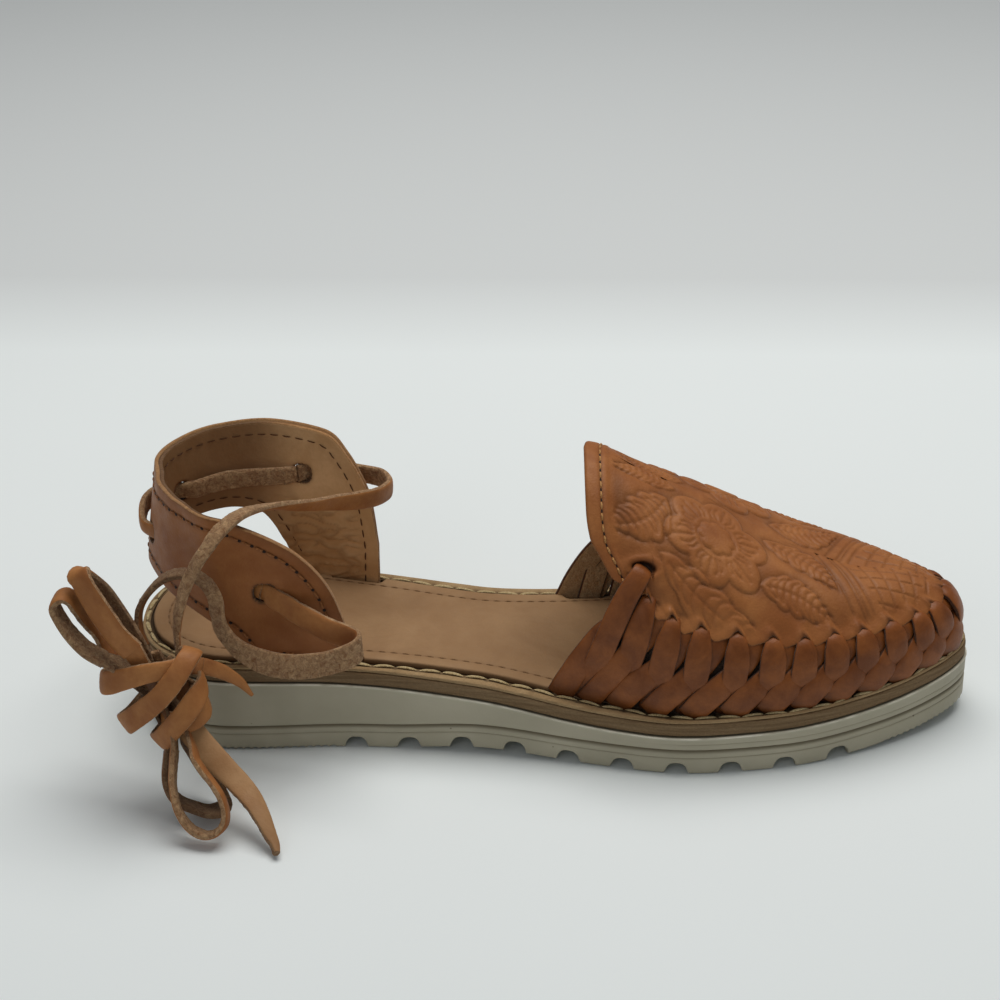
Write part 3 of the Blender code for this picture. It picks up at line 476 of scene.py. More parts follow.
class Look:
    """A Principled material, with short calls that add its nodes.

    Sizes are in millimetres, and fixed colours are display colours, 0 to 255."""

    def __init__(self, name, roughness, fixed):
        self.material = bpy.data.materials.new(name)
        self.material.use_nodes = True
        self.nodes = self.material.node_tree.nodes
        self.shader = self.nodes["Principled BSDF"]
        self.shader.inputs["Roughness"].default_value = roughness
        for key, value in fixed.items():
            self.shader.inputs[key].default_value = value
        self.place = self.nodes.new("ShaderNodeTexCoord").outputs["Object"]

    def feed(self, socket, value):
        """Links a node's output to a socket, or sets a fixed value there."""
        if isinstance(value, bpy.types.NodeSocket):
            self.material.node_tree.links.new(value, socket)
        else:
            socket.default_value = value

    def node(self, kind, inputs, **settings):
        made = self.nodes.new("ShaderNode" + kind)
        for key, value in settings.items():
            setattr(made, key, value)
        for key, value in inputs.items():
            self.feed(made.inputs[key], value)
        return made

    def math(self, operation, first, second, kind="Math"):
        return self.node(kind, {0: first, 1: second}, operation=operation).outputs[0]

    def times(self, first, second):
        return self.math("MULTIPLY", first, second)

    def plus(self, first, second):
        return self.math("ADD", first, second)

    def noise(self, size, detail=3.0, rough=0.5, stretch=None, bend=0.0):
        place = self.math("MULTIPLY", self.place, stretch, "VectorMath") if stretch else self.place
        return self.node("TexNoise", {"Vector": place, "Scale": 1 / (size * MM), "Detail": detail,
                                      "Roughness": rough, "Distortion": bend}).outputs["Fac"]

    def cells(self, size, feature="F1"):
        made = self.node("TexVoronoi", {"Vector": self.place, "Scale": 1 / (size * MM)}, feature=feature)
        return made.outputs["Distance"]

    def spread(self, value, low, high, to_low=0.0, to_high=1.0):
        return self.node("MapRange", {"Value": value, "From Min": low, "From Max": high, "To Min": to_low,
                                      "To Max": to_high}).outputs["Result"]

    def patches(self, size, low, high, **more):
        """Soft patches: noise that is 0 below low and 1 above high."""
        return self.spread(self.noise(size, **more), low, high)

    def mix(self, amount, first, second):
        first, second = (tone(*value) if isinstance(value, tuple) else value for value in (first, second))
        return self.node("Mix", {0: amount, 6: first, 7: second}, data_type="RGBA").outputs[2]

    def marked(self, attribute, base, mark):
        """The base colour, mixed with a mark's colour where the mesh's attribute says."""
        amount = self.node("Attribute", {}, attribute_name=attribute).outputs["Fac"]
        return self.mix(amount, base, mark)

    def colour(self, value):
        self.feed(self.shader.inputs["Base Color"], value)

    def roughness(self, size, low, high):
        """A roughness that wavers between two values."""
        self.feed(self.shader.inputs["Roughness"], self.spread(self.noise(size), 0.3, 0.7, low, high))

    def bump(self, height, depth):
        made = self.node("Bump", {"Height": height, "Distance": depth * MM, "Strength": 1.0})
        self.feed(self.shader.inputs["Normal"], made.outputs["Normal"])


def grain_leather(name, light, dark, deep, gloss, pore=0.65, depth=0.10, patch=16.0, shine=0.22):
    """Smooth vegetable-tanned leather: cloudy tan, fine pores, and painted shade where the mesh's shade
    attribute says.
    """
    look = Look(name, gloss, {"Specular IOR Level": shine})
    base = look.mix(look.patches(patch, 0.36, 0.64, detail=4.0, rough=0.6, bend=0.4), dark, light)
    fine = look.spread(look.noise(1.3, detail=5.0, rough=0.65), 0.45, 0.75, 0.0, 0.35)
    look.colour(look.marked("crease", look.mix(fine, base, dark), deep))
    pores, scar = look.cells(pore, "SMOOTH_F1"), look.noise(0.45)
    look.bump(look.plus(look.times(pores, 0.7), look.times(scar, 0.5)), depth)
    look.roughness(3.5, gloss - 0.07, gloss + 0.10)
    return look.material


def flesh_leather(name, light, dark, deep, depth=0.5):
    """The fuzzy, unfinished side of leather."""
    look = Look(name, 0.93, {"Sheen Weight": 0.12, "Sheen Roughness": 0.6, "Specular IOR Level": 0.2})
    clump = look.patches(1.5, 0.34, 0.66, detail=5.0, rough=0.7, bend=1.0)
    fibre = look.patches(0.42, 0.3, 0.7, detail=4.0, rough=0.7)
    base = look.mix(look.times(fibre, 0.45), look.mix(clump, dark, light), dark)
    # painted shade: darker towards the deep colour where the mesh's shade attribute says
    look.colour(look.marked("crease", base, deep))
    look.bump(look.plus(clump, look.times(fibre, 0.6)), depth)
    return look.material


def rubber(name):
    """Cream crepe with dark specks, painted shade in its moulded lines and a painted highlight along its top
    lip.
    """
    look = Look(name, 0.55, {"Specular IOR Level": 0.3})
    base = look.mix(look.patches(24.0, 0.35, 0.65), (168, 161, 140), (180, 173, 152))
    speck = look.spread(look.cells(7.5), 0.035, 0.06, 1.0, 0.0)
    base = look.mix(look.times(speck, 0.75), base, (78, 68, 50))
    # painted shade: darker in the moulded lines and notches, where the mesh's shade attribute says
    base = look.marked("crease", base, (112, 102, 80))
    # painted highlight: paler along the top lip, where the mesh's highlight attribute says
    look.colour(look.marked("wear", base, (232, 228, 212)))
    look.bump(look.noise(0.9, detail=4.0), 0.05)
    look.roughness(5.0, 0.46, 0.60)
    return look.material


def board(name, light, dark):
    """Pressed leather board, with faint layers along its cut edge."""
    look = Look(name, 0.85, {"Specular IOR Level": 0.2})
    layers = look.patches(2.4, 0.36, 0.64, stretch=(0.12, 0.12, 2.6))
    fleck = look.patches(0.8, 0.35, 0.7, detail=4.0, rough=0.7)
    base = look.mix(look.times(fleck, 0.3), look.mix(layers, dark, light), (92, 74, 54))
    # painted shade: darker towards this colour where the mesh's shade attribute says
    look.colour(look.marked("crease", base, (44, 31, 22)))
    look.bump(look.plus(layers, look.times(fleck, 0.7)), 0.16)
    return look.material


def thread(name, light, dark):
    look = Look(name, 0.8, {"Sheen Weight": 0.1, "Specular IOR Level": 0.2})
    ply = look.patches(0.5, 0.35, 0.65, rough=0.6)
    look.colour(look.mix(ply, dark, light))
    look.bump(ply, 0.12)
    return look.material


# the third colour of each leather is its painted shade, used where the mesh's shade attribute says
def materials():
    return {
        "vamp": grain_leather("vamp_leather", (168, 108, 60), (142, 84, 42), PAINTED_SHADE_COLOUR, 0.50),
        # partly painted shade: the strips are the vamp's leather, given a darker colour because they sit in
        # shadow
        "strip": grain_leather("strip_leather_painted_shade", (142, 82, 38), (112, 60, 24), PAINTED_SHADE_COLOUR, 0.42, depth=0.07,
                               patch=9.0, shine=0.26),
        "band": grain_leather("band_leather", (164, 106, 60), (140, 84, 42), PAINTED_SHADE_COLOUR, 0.48, patch=22.0),
        "lining": grain_leather("lining_leather", (218, 177, 130), (197, 154, 107), (98, 58, 26), 0.66,
                                pore=0.9, depth=0.08),
        "insole": grain_leather("insole_leather", (160, 127, 92), (144, 111, 78), (80, 52, 30), 0.68,
                                pore=0.8, depth=0.06, patch=30.0),
        "lace": grain_leather("lace_leather", (174, 118, 68), (146, 92, 50), (62, 34, 16), 0.55, patch=12.0,
                              depth=0.09),
        "pale_lace": grain_leather("pale_lace_leather", (188, 148, 106), (168, 126, 86), (76, 44, 22), 0.60,
                                   patch=12.0),
        "flesh": flesh_leather("flesh_side", (232, 192, 144), (148, 100, 60), (66, 40, 20)),
        "upper_flesh": flesh_leather("upper_flesh_side", (250, 214, 164), (214, 164, 112), PAINTED_SHADE_COLOUR),
        "rubber": rubber("outsole_rubber"),
        "board": board("midsole_board", (140, 116, 86), (122, 98, 70)),
        "welt": board("welt_board", (176, 148, 110), (154, 126, 90)),
        "welt_thread": thread("welt_thread", (206, 186, 144), (166, 144, 100)),
        "cream_thread": thread("cream_thread", (206, 156, 98), (164, 114, 64)),
        "tan_thread": thread("tan_thread", (170, 112, 66), (134, 82, 42)),
        "insole_thread": thread("insole_thread", (142, 108, 74), (112, 82, 52)),
        "lining_thread": thread("lining_thread", (104, 68, 40), (76, 46, 26)),
        # painted shade: a dark mark drawn where each stitch goes into its hole
        "stitch_hole_shade": flesh_leather("stitch_hole_shade", (54, 32, 18), (36, 20, 10), PAINTED_SHADE_COLOUR, 0.1),
        "strip_edge": flesh_leather("strip_edge", (112, 68, 34), (78, 42, 20), PAINTED_SHADE_COLOUR, 0.12),
        "vamp_edge": flesh_leather("vamp_edge", (160, 106, 60), (120, 72, 36), PAINTED_SHADE_COLOUR, 0.15),
        "band_edge": flesh_leather("band_edge", (196, 150, 100), (156, 110, 66), PAINTED_SHADE_COLOUR, 0.15),
    }


# ---------------------------------------------------------------- meshes

LATTICE = 64
SIDES = 20
SECTION_POWER = 4.0
FLESH_BELOW = 0.16
THREAD_RINGS = 7
THREAD_SIDES = 8
THREAD_BOW = 0.55
WELD = 0.02


def lumps(points, size, seed):
    """Smooth noise between about -1 and 1 at each point, with features of the given size."""
    table = np.random.default_rng(seed).uniform(-1, 1, (LATTICE,) * 3)
    at = np.asarray(points, float) / size
    low = np.floor(at).astype(int)
    part = at - low
    part = part * part * (3 - 2 * part)
    total = np.zeros(at.shape[:-1])
    for corner in itertools.product((0, 1), repeat=3):
        index = (low + corner) % LATTICE
        weight = np.prod(np.where(corner, part, 1 - part), axis=-1)
        total += weight * table[index[..., 0], index[..., 1], index[..., 2]]
    return total


def waves(points, *layers):
    """The sum of layers of smooth noise at each point. A layer is its height, size and seed."""
    return sum(height * lumps(points, size, seed) for height, size, seed in layers)


def smooth(value, low, high):
    """0 below low, 1 above high, and smooth between."""
    share = np.clip((np.asarray(value, float) - low) / (high - low), 0, 1)
    return share * share * (3 - 2 * share)


def bell(away, wide):
    """1 at no distance, and falling smoothly to almost 0 at twice the width."""
    return np.exp(-(away / wide) ** 2)


def grid_faces(rows, columns, closed=False, flip=False):
    """Quads of a grid of points, row after row. A closed grid joins its last column to its first."""
    low = np.arange(rows - 1)[:, None] * columns
    here = np.arange(columns if closed else columns - 1)
    after = (here + 1) % columns
    faces = np.stack([low + here, low + after, low + columns + after, low + columns + here], axis=-1)
    faces = faces.reshape(-1, 4)
    return faces[:, ::-1] if flip else faces


def circle(count=SIDES):
    """Angles of points evenly round a circle."""
    return np.linspace(0, 2 * math.pi, count + 1)[:-1]


class Heap:
    """Points in millimetres and faces of several parts, to become one mesh."""

    def __init__(self):
        # creases holds each point's painted shade: how far its colour darkens for crevices, gaps and
        # under-edges
        self.points, self.faces, self.kinds, self.creases, self.size = [], [], [], [], 0

    def add(self, points, faces, kind=0, crease=0.0):
        points = np.asarray(points, float).reshape(-1, 3)
        self.points.append(points)
        self.faces += [tuple(int(i) + self.size for i in face) for face in faces]
        self.kinds += np.broadcast_to(kind, len(faces)).tolist()
        self.creases.append(np.broadcast_to(np.asarray(crease, float).ravel(), len(points)))
        self.size += len(points)

    def piece(self, name, looks, slot, replaces=(), angle=40.0, **fields):
        """The mesh as an object that rides on the shoe and stands for the CAD nodes named."""
        mesh = bpy.data.meshes.new(name)
        mesh.from_pydata((np.vstack(self.points) * MM).tolist(), [], self.faces)
        for look in looks:
            mesh.materials.append(look)
        mesh.polygons.foreach_set("material_index", np.asarray(self.kinds, np.int32))
        # the painted shade of each point, as the attribute that darkens the materials
        fields["crease"] = np.concatenate(self.creases)
        for key, values in fields.items():
            made = mesh.attributes.new(key, "FLOAT", "POINT")
            made.data.foreach_set("value", np.asarray(values, np.float32))
        mesh.shade_smooth()
        mesh.set_sharp_from_angle(angle=math.radians(angle))
        made = placed(name, mesh)
        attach(made, "root")
        if replaces:
            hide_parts(*replaces)
        return made


def rounded_share(value):
    """Turns a circle's cosine or sine into that of a slot with round corners."""
    return np.sign(value) * np.abs(value) ** (2 / SECTION_POWER)


def sweep(middle, across, face, wide, thick, crown):
    """Rings of a flat strip's section along a line. The crown swells the middle of its face."""
    sideways, upright = rounded_share(np.cos(circle())), rounded_share(np.sin(circle()))
    wide, thick, crown = (np.broadcast_to(v, len(middle))[:, None, None] for v in (wide, thick, crown))
    swell = (np.maximum(upright, 0) * (1 - sideways ** 2))[None, :, None]
    return (middle[:, None] + across[:, None] * wide / 2 * sideways[None, :, None]
            + face[:, None] * (thick / 2 * upright[None, :, None] + crown * swell))


def strip_kinds(rings):
    """0 for a strip's grain face, 1 for its flesh face and cut edges, for each face of a sweep."""
    grain = np.sin(circle() + math.pi / SIDES) > FLESH_BELOW
    return np.tile(np.where(grain, 0, 1), rings - 1).tolist() + [1, 1]


def tube_faces(rings, sides=SIDES):
    """Faces of rings of points, closed at both ends."""
    faces = grid_faces(rings, sides, closed=True, flip=True).tolist()
    last = (rings - 1) * sides
    return faces + [tuple(range(sides)), tuple(range(last + sides - 1, last - 1, -1))]


def unit(vectors):
    return vectors / np.linalg.norm(vectors, axis=-1, keepdims=True)


def frames(middle, facing):
    """Unit vectors across and out of a strip that runs along a line and faces a given way."""
    along = unit(np.gradient(middle, axis=0))
    across = unit(np.cross(along, facing))
    return across, np.cross(across, along)


def capsule(heap, start, end, facing, wide, thick, kind=0, halfway=None):
    """A short stitch of thread between two points, which bows out of the leather."""
    share = np.linspace(0, 1, THREAD_RINGS)[:, None]
    facing = unit(np.asarray(facing, float))
    bend = 0 if halfway is None else halfway - (start + end) / 2
    middle = start + (end - start) * share + (facing * thick * THREAD_BOW + bend) * np.sin(math.pi * share)
    across = unit(np.cross(end - start, facing))
    turn = circle(THREAD_SIDES)[None, :, None]
    swell = np.sqrt(np.clip(1 - (2 * share - 1) ** 4, 0.06, 1))[..., None]
    rings = (middle[:, None] + across * wide / 2 * np.cos(turn) * swell
             + facing * thick / 2 * np.sin(turn) * swell)
    heap.add(rings, tube_faces(THREAD_RINGS, THREAD_SIDES), kind)


def stitch_places(line, pitch):
    """Even places along a line of points, and the step between them."""
    length = measured(line)[-1]
    count = int(length // pitch)
    return np.arange(count) * length / count, length / count


def seam(line, facing, pitch, *marks):
    """Marks along a line of points at even places, each facing as the line's nearest point does.

    A mark is its heap, start and end from its place, width, thickness and kind. A negative end is
    measured from the next place."""
    places, pitch = stitch_places(line, pitch)
    along = measured(line)
    for place in places:
        way = facing[int(np.argmin(np.abs(along - place)))]
        for heap, start, end, wide, thick, kind in marks:
            stop = place + end + (pitch if end < 0 else 0)
            ends = at_lengths(line, [max(place + start, 0.0), stop])
            capsule(heap, ends[0], ends[1], way, wide, thick, kind)


# ---------------------------------------------------------------- sole

UP = (0.0, 0.0, 1.0)
SOLE_RING = outline_ring(2 * RIM_STATIONS)
NOTCH_TALL = 3.5
NOTCH_HALF = 3.5
NOTCH_POWER = 2.8
NOTCH_ROUND = 0.62
RIPPLE_PITCH = 2.4
RIPPLE_DEEP = 0.42
STITCH_PITCH = 7.0
STITCH_GAP = 0.35
GROOVE_WIDE = 2.3
SEAT_CLEAR = 0.05
TOP_ACROSS = 24
WALL_SEAT = 3.2
SEAM_IN = 4.75
SEAM_PITCH = 3.7
UPPER_LINES = 10.0

# height above the tread, depth of a moulded line there, and the painted shade in it. Those above UPPER_LINES
# are only in the front half.
SIDE_LINES = (
    (5, 0, 0), (5.3, 0.06, 0), (5.6, 0.28, 0.3), (5.9, 0.06, 0), (6.2, 0, 0), (7.1, 0, 0), (7.4, 0.18, 0.1),
    (7.7, 0.6, 0.6), (8, 0.85, 0.9), (8.3, 0.62, 0.6), (8.6, 0.16, 0), (8.9, 0, 0), (10.2, 0, 0),
    (10.45, 0.13, 0.25), (10.7, 0, 0),
)


def rim_level(ring, inset, z):
    """A ring moved inwards, at a height."""
    return np.column_stack([inward(ring, inset), np.broadcast_to(z, len(ring))])


def loft(heap, ring, rows):
    """Adds a profile that runs round the sole. Its rows are inset from the edge, height and painted shade."""
    rings = np.array([rim_level(ring, inset, z) for inset, z, _ in rows])
    dark = np.array([np.broadcast_to(shade, len(ring)) for _, _, shade in rows])
    heap.add(rings, grid_faces(len(rings), len(ring), closed=True), crease=dark)
    return rings


def cap(ring, across):
    """Points of a grid between a ring's lateral and medial points, from heel to toe."""
    half = len(ring) // 2
    lateral, medial = ring[:half + 1], ring[-np.arange(half + 1)]
    return lateral[:, None] + (medial - lateral)[:, None] * np.linspace(0, 1, across + 1)[None, :, None]


def fill(heap, ring, across, crease=0.0, flip=False):
    """Closes a ring with a grid."""
    heap.add(cap(ring, across), grid_faces(len(ring) // 2 + 1, across + 1, flip=flip), crease=crease)


def weld(made):
    """Joins points that lie together, and takes out faces with no area."""
    shape = bmesh.new()
    shape.from_mesh(made.data)
    bmesh.ops.remove_doubles(shape, verts=shape.verts, dist=WELD * MM)
    bmesh.ops.dissolve_degenerate(shape, dist=0.3 * WELD * MM, edges=shape.edges)
    shape.to_mesh(made.data)
    shape.free()


def notches(x):
    """Height of the notches' roofs above the tread."""
    number = np.clip(np.round((x - LUG_FIRST_X) / LUG_PITCH), 0, LUG_COUNT - 1)
    away = np.abs(x - LUG_FIRST_X - number * LUG_PITCH)
    return NOTCH_TALL * np.clip(1 - (away / NOTCH_HALF) ** NOTCH_POWER, 0, 1) ** NOTCH_ROUND


def outsole(looks):
    ring = SOLE_RING
    x = ring[:, 0]
    along = measured(looped(ring))[:-1]
    tread, top = side_height("tread", x), deck_height(x) - GAP / 2
    ends = smooth(x, 100, 104) + smooth(-x, 63, 66)
    ripple = RIPPLE_DEEP * np.abs(np.sin(math.pi * along / RIPPLE_PITCH)) * ends
    foot = tread + notches(x) + ripple
    wave = 0.10 * lumps(np.column_stack([ring, top]), 9.0, 5)
    ragged = 0.5 + 0.5 * lumps(np.column_stack([ring, top]), 2.6, 6)
    forward = smooth(x, 20, 50)
    # the third value of each row is painted shade in the notches, moulded lines and under the top
    rows = [(2.4, foot, 0.0), (0.95 + 0.3 * ripple, foot, 0.2), (0.45 + 0.4 * ripple, foot + 0.14, 0.0),
            (0.13 + 0.3 * ripple, foot + 0.45, 0.0), (0.0, foot + 0.95, 0.0)]
    for height, depth, dark in SIDE_LINES:
        share = forward if height > UPPER_LINES else 1.0
        rows.append((depth * share + wave * 0.4, tread + height, dark * share))
    rows += [(wave * 0.5, top - 1.0, 0.0), (wave * 0.5 - 0.03, top - 0.55, 0.0),
             (-0.12 - 0.12 * ragged, top - 0.22, 0.0), (0.15 - 0.1 * ragged, top + 0.04, 0.0),
             (0.7, top - 0.05, 0.5)]
    heap = Heap()
    rings = loft(heap, ring, rows)
    fill(heap, rings[0], 6)
    fill(heap, rings[-1], 4, 0.5, flip=True)
    # painted highlight: paler along the outsole's top lip, in ragged patches
    wear = np.zeros(heap.size)
    lip_highlight = wear[:rings.shape[0] * rings.shape[1]].reshape(rings.shape[:2])
    lip_highlight[-4], lip_highlight[-3], lip_highlight[-2] = 0.15, ragged, ragged
    weld(heap.piece("sole_moulded", [looks["rubber"]], "outsole", ["outsole"], 50.0, wear=wear))


def midsole(looks):
    x = RIM[:, 0]
    low, high = deck_height(x) + GAP / 2, seat_height(x)
    here = np.column_stack([RIM, low])
    rough = waves(here, (0.16, 14.0, 7), (0.09, 3.0, 8))
    heap = Heap()
    # the third value of each row is painted shade under the edges, in the groove and below the welt
    rings = loft(heap, RIM, (
        (4.0, low, 0.4), (1.2, low, 0.6), (0.62 + rough, low + 0.18, 0.35), (0.42 + rough, low + 0.6, 0.1),
        (0.40 + rough, low + 1.5, 0.0), (0.46 + 0.7 * rough, low + 2.2, 0.12), (0.38 + rough, low + 3.0, 0.0),
        (0.40 + rough, high - 0.7, 0.0), (0.55 + rough, high - 0.22, 0.0), (0.95 + rough, high - 0.03, 0.0),
        (1.5, high, 0.2)))
    fill(heap, rings[0], 4, 0.4)
    fill(heap, rings[-1], 4, 0.75, flip=True)
    weld(heap.piece("sole_board", [looks["board"]], "midsole", ["midsole"], 50.0))


def stitch_inset():
    """How far in from the sole's edge the welt's stitches run."""
    return np.maximum(1.55, side_height("ledge", RIM[:, 0]) - 1.6)


def welt(looks):
    x = RIM[:, 0]
    low = seat_height(x) + SEAT_CLEAR
    high = seat_height(x) + GAP + WELT_THICK
    inner = side_height("ledge", x) - PLAIT_PROUD - GAP + 0.1
    rough = 0.10 * lumps(np.column_stack([RIM, low]), 6.0, 9)
    path = looped(rim_level(RIM, stitch_inset(), high - 0.12))
    places, pitch = stitch_places(path, STITCH_PITCH)
    along = measured(path)
    from_hole = (along[:-1] + pitch / 2) % pitch - pitch / 2
    gap = bell(from_hole, 0.75)
    groove = np.minimum(GROOVE_WIDE, 0.75 * (inner - 0.75))
    heap = Heap()
    # painted shade in the groove beside the upper, deeper at each stitch hole, and on the inner side
    loft(heap, RIM, (
        (1.1, low, 0.0), (0.80 + rough, low + 0.25, 0.0), (0.74 + rough, high - 0.38, 0.0),
        (0.88 + rough, high - 0.10, 0.0), (1.15 + rough, high + rough * 0.4, 0.0),
        (inner - groove, high - 0.03 + rough * 0.5, 0.1 * gap),
        (inner - groove * 0.80, high - 0.25 - 0.12 * gap, 0.15 + 0.4 * gap),
        (inner - groove * 0.45, high - 0.42 - 0.25 * gap, 0.25 + 0.4 * gap),
        (inner - groove * 0.18, high - 0.3 - 0.15 * gap, 0.3 + 0.4 * gap), (inner - 0.05, high - 0.45, 0.7),
        (inner, low, 1.0)))
    heap.piece("welt_ledge", [looks["welt"]], "welt_strip", ["welt_strip"], 60.0)
    heap = Heap()
    inset = looped(stitch_inset())
    for number, place in enumerate(places):
        start, end = place + STITCH_GAP, place + pitch - STITCH_GAP
        points = at_lengths(path, [start, (start + end) / 2, end])
        skew = 0.22 * (1 if number % 2 else -1) + 0.1 * math.sin(3.1 * number)
        tight = np.interp((start + end) / 2, along, inset) < 2.0
        ahead = unit(points[2] - points[0])
        side = np.array((-ahead[1], ahead[0], 0.0))
        wide = (0.9 if tight else 1.05) * (1 + 0.12 * math.sin(1.7 * number))
        capsule(heap, points[0] - side * skew, points[2] + side * skew, UP, wide, 0.6, halfway=points[1])
    heap.piece("welt_stitches", [looks["welt_thread"]], "welt_strip")


# places round the heel that the band's two feet take up
BAND_FEET = ((-85.0, -68.5), (70.5, 86.5))


def insole_edge():
    """How far the insole's edge stays in from the sole's, which is more where the upper stands beside it."""
    half = len(FEATHER) // 2
    at = np.concatenate([-measured(FEATHER[:half + 1]), measured(FEATHER[-np.arange(half + 1)])[-2:0:-1]])
    walls = smooth(RIM[:, 0], -0.5, 1.5)
    for low, high in BAND_FEET:
        walls = np.maximum(walls, smooth(at, low - 1.2, low) * smooth(-at, -high - 1.2, -high))
    return side_height("ledge", RIM[:, 0]) + GAP + WALL_SEAT * walls


def insole(looks):
    x = RIM[:, 0]
    low = seat_height(x) + SEAT_CLEAR
    high = seat_height(x) + GAP + INSOLE_THICK
    edge = insole_edge()
    groove = side_height("ledge", x) + GAP + SEAM_IN
    rough = 0.08 * lumps(np.column_stack([RIM, low]), 7.0, 12)
    heap = Heap()
    # the third value of each row is painted shade under the insole's edge and in its stitch groove
    rings = loft(heap, RIM, (
        (edge + 0.25, low, 0.9), (edge + rough, low + 0.5, 0.5), (edge + 0.02 + rough, high - 0.5, 0.3),
        (edge + 0.22, high - 0.12, 0.12), (edge + 0.7, high + 0.03, 0.0),
        (np.maximum(edge + 0.9, groove - 2.0), high, 0.0), (groove - 0.5, high - 0.06, 0.05),
        (groove, high - 0.26, 0.30), (groove + 0.5, high - 0.10, 0.05), (groove + 2.9, high - 0.1, 0.0)))
    top = cap(rings[-1], TOP_ACROSS)
    share = np.linspace(0, 1, TOP_ACROSS + 1)[None, :]
    swell = waves(top, (0.10, 26.0, 13), (0.03, 6.0, 14))
    top[..., 2] += (4 * share * (1 - share)) * (swell - 0.35)
    heap.add(top, grid_faces(*top.shape[:2], flip=True))
    weld(heap.piece("footbed", [looks["insole"]], "insole", ["insole"], 60.0))
    heap = Heap()
    path = looped(rim_level(RIM, groove, high - 0.22))
    seam(path, [UP] * len(path), SEAM_PITCH, (heap, 0.7, -0.6, 0.55, 0.32, 0))
    heap.piece("footbed_stitches", [looks["insole_thread"]], "insole")


# ---------------------------------------------------------------- upper: frames and notches

SHOE_SIDES = ("lateral", "medial")
FRAME_STEP = 0.002
NEAR_CREST = 0.9995
PLAIT_LENGTH = 139.5
STRIP_THICK = 1.45
STRIP_CROWN = 0.42
STRIP_STEPS = 7
STRIP_FLOOR = 0.9

# the backing's two faces in from the upper's, its rear edges after the plait's, its top above the lacing
# line, and the painted shade of its layers
BACK_FACES = (1.5, 2.5)
BACK_LATER = (0.055, 0.27)
BACK_HIGHER = 0.03
BACK_PAINTED_SHADE = (0.95, 0.3, 0.95)

# finger of the plait, counted from the rear: where its top goes through the vamp, how high, and its foot
FINGER = {
    "number": (0, 1, 2, 3, 4, 5, 6, 7, 8, 9, 10, 11, 12, 12.25),
    "top": (27, 29.5, 37, 45.5, 56.5, 67.5, 77.5, 87.5, 97.5, 108, 119, 127, 137, 139.5),
    "rise": (0.47, 0.38, 0.336, 0.322, 0.32, 0.32, 0.325, 0.344, 0.349, 0.365, 0.37, 0.39, 0.43, 0.44),
    "foot": (7.5, 20.5, 31, 42.5, 54.5, 65.5, 75, 86, 97, 107.5, 118, 128, 138, 139.5),
}
FINGERS = 13

# place between one notch of the vamp's lower edge and the next, and the share of the notch's rise there
SCALLOP = {
    "part": (0, 0.14, 0.26, 0.36, 0.55, 0.75, 0.88, 1),
    "share": (1.08, 1.03, 0.93, 0.91, 0.94, 0.98, 1.05, 1.08),
}


def upper_frame(side, reach, rise):
    """Points of the upper's outer face and the way out from it there."""
    reach = np.clip(reach, FRAME_STEP, 1.0)
    rise = np.clip(rise, 0.0, 1.0)
    low = np.clip(rise - FRAME_STEP, 0, NEAR_CREST - 2 * FRAME_STEP)
    high = np.clip(rise + FRAME_STEP, 0, NEAR_CREST)
    ahead = (section_point(side, np.minimum(reach + FRAME_STEP, 1), rise)
             - section_point(side, reach - FRAME_STEP, rise))
    up = section_point(side, reach, high) - section_point(side, reach, low)
    out = unit(np.cross(ahead, up))
    return section_point(side, reach, rise), out if side == "lateral" else -out


def finger(key, number):
    """A value of the plait's table at a finger, or between two."""
    return np.interp(number, FINGER["number"], FINGER[key])


def by_finger(rows):
    """Rows of finger number and share of the way up, as rows of arc and rise."""
    made = []
    for number, up, out, wide in rows:
        number = min(number, FINGER["number"][-1])
        foot = finger("foot", number)
        made.append((foot + (finger("top", number) - foot) * up, up * finger("rise", number), out, wide))
    return made


def plait_line(side, rows):
    """A strip's line from rows of arc, rise, distance out and width."""
    rows = round_off(np.asarray(rows, float), STRIP_STEPS)
    point, out = upper_frame(side, rows[:, 0] / PLAIT_LENGTH, rows[:, 1])
    middle = point + out * rows[:, 2:3]
    floor = seat_height(middle[:, 0]) + STRIP_FLOOR
    middle[:, 2] = np.maximum(middle[:, 2], floor)
    return middle, out, rows[:, 3]


def plait_strip(heap, side, rows, seed, painted_shade_ends):
    middle, out, wide = plait_line(side, rows)
    across, face = frames(middle, out)
    wide = wide * (1 + 0.05 * lumps(middle, 6.0, seed))
    rings = sweep(middle, across, face, wide, STRIP_THICK, STRIP_CROWN)
    rings += 0.07 * lumps(rings, 3.0, seed + 1)[..., None] * face[:, None]
    share = np.linspace(0, 1, len(middle))
    upright = np.sin(circle())
    # painted shade along the strip's edges, where it meets its neighbours, and at its ends, where they go
    # under other leather
    border = np.clip(0.85 - 1.7 * np.abs(upright), 0, 1) ** 1.5
    ends = painted_shade_ends[0] * smooth(-share, -0.14, -0.02) + painted_shade_ends[1] * smooth(share, 0.86, 0.98)
    crease = np.clip(ends[:, None] + 0.75 * border[None, :], 0, 1) * np.where(upright < -0.3, 0.3, 1)
    kinds = np.array(strip_kinds(len(rings)))
    under = np.sin(circle() + math.pi / SIDES) < -0.5
    kinds[:-2][np.tile(under, len(rings) - 1)] = 2
    heap.add(rings, tube_faces(len(rings)), kinds, crease)


